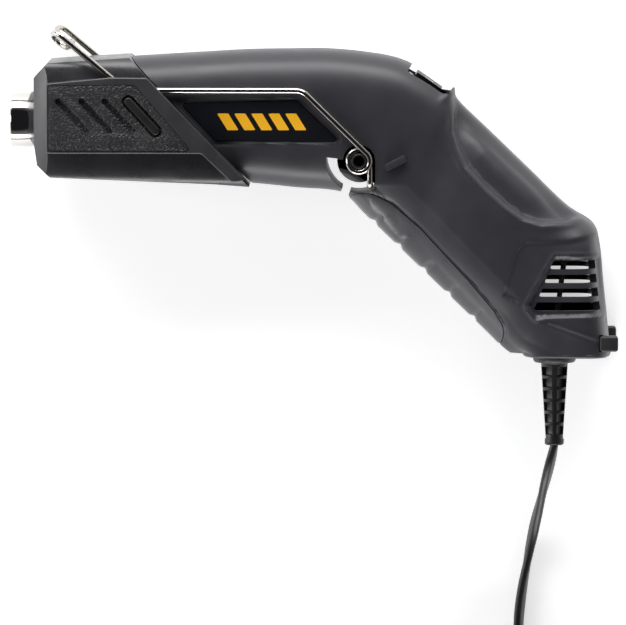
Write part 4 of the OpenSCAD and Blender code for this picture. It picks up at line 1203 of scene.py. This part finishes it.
# ---- strain relief


def strain_relief():
    """Soft moulded boot: a flange, then a tapering spine with windows on its sides."""
    profile = [(-4.6, 0), (-4.6, 6.5), (-2.6, 6.5), (-2.6, 4.2), (0.1, 4.2), (0.1, 7.6),
               (0.35, 7.8), (2.3, 7.4), (2.9, 6.9), (2.9, 5.2), (3.3, 4.7),
               (29.5, 3.05), (30.2, 3.4), (31.6, 3.35), (32, 3.0), (32, 0)]
    piece = lathe("cord_boot", profile, at(RELIEF_X, BASE_Y), (0, -1, 0), 64)
    for k in range(6):
        low = 4.4 + 4.15 * k
        for turn in range(4):
            a = math.radians(45 + 90 * turn)
            ahead = Vector((math.cos(a), 0, math.sin(a)))
            aside = Vector((-math.sin(a), 0, math.cos(a)))
            near, far, half = 2.3 - 0.1 * k, 9, 1.9 - 0.1 * k
            corners = [at(RELIEF_X, BASE_Y - low) + (ahead * f + aside * g) * MM
                       for f, g in ((near, -half), (far, -half - 2), (far, half + 2), (near, half))]
            cut(piece, prism("cutter", corners, (0, -3.05 * MM, 0)))
    soften(piece, 0.22, 2, 35)
    done(piece, RELIEF, 35, ["strain_relief"])


strain_relief()

# ---- inside pieces and fixings

INSIDE = {
    "motor_can": DRAWN_STEEL, "motor_shaft": DRAWN_STEEL, "motor_magnets": FERRITE,
    "motor_armature": WINDING, "fan_wheel": NYLON, "fan_shroud": INNER, "motor_end_cap": INNER,
    "cord_clamp": INNER, "motor_sleeve": RUBBER, "rectifier_board": BOARD,
    "rectifier_diodes": DIODE, "heater_holder": CERAMIC, "mica_cross": MICA,
    "mica_sleeve": MICA, "heating_coil": ALLOY, "thermal_cutout": DRAWN_STEEL,
    "supply_leads": LEAD, "switch_terminals": BRASS, "housing_screws": ZINC,
    "clamp_screws": ZINC, "plug_blades": BRASS,
}
for node, material in INSIDE.items():
    nodes[node].data.materials.clear()
    nodes[node].data.materials.append(material)

# ---- floor and light

deselect()
bpy.ops.mesh.primitive_plane_add(size=6)
floor = new_piece("floor")
floor_material = bpy.data.materials.new("pale_floor")
floor_material.use_nodes = True
floor_shader = floor_material.node_tree.nodes["Principled BSDF"]
floor_shader.inputs["Base Color"].default_value = linear("f4f4f4")
floor_shader.inputs["Roughness"].default_value = 0.9
floor_shader.inputs["Specular IOR Level"].default_value = 0.1
floor_shader.inputs["Emission Color"].default_value = (1, 1, 1, 1)
floor_shader.inputs["Emission Strength"].default_value = 0.55
floor.data.materials.append(floor_material)


def soft_light(name, place, aim, size, power, colour=(1, 1, 1)):
    """A soft square light at a place, in metres, aimed at a point."""
    data = bpy.data.lights.new(name, "AREA")
    data.shape = "RECTANGLE"
    data.size, data.size_y = size
    data.energy = power
    data.color = colour
    lamp = bpy.data.objects.new(name, data)
    scene.collection.objects.link(lamp)
    lamp.location = place
    way = Vector(aim) - Vector(place)
    lamp.rotation_mode = "QUATERNION"
    lamp.rotation_quaternion = way.to_track_quat("-Z", "Y")
    return lamp


world = bpy.data.worlds.new("studio")
scene.world = world
world.use_nodes = True
sky = world.node_tree
background = sky.nodes["Background"]
# A bright horizon under a dark ceiling, as between white studio walls
place = add(sky, "ShaderNodeTexCoord")
height = add(sky, "ShaderNodeSeparateXYZ", [("Vector", place, "Generated")])
ceiling = add(sky, "ShaderNodeValToRGB", [("Fac", height, "Z")])
ceiling.color_ramp.elements[0].position = 0.25
ceiling.color_ramp.elements[0].color = (1, 1, 1, 1)
ceiling.color_ramp.elements[1].position = 0.75
ceiling.color_ramp.elements[1].color = (0.03, 0.03, 0.035, 1)
sky.links.new(ceiling.outputs["Color"], background.inputs["Color"])
background.inputs["Strength"].default_value = 0.42
soft_light("top_bank", (-0.15, 1.2, 0.55), (0, 0, 0.02), (1.8, 0.6), 24)
soft_light("lower_bank", (-0.1, -1.3, 0.45), (-0.05, 0, 0.02), (1.6, 0.4), 15)
soft_light("front_bank", (-1.3, 0.1, 0.5), (0, 0, 0.02), (0.4, 1.2), 6)
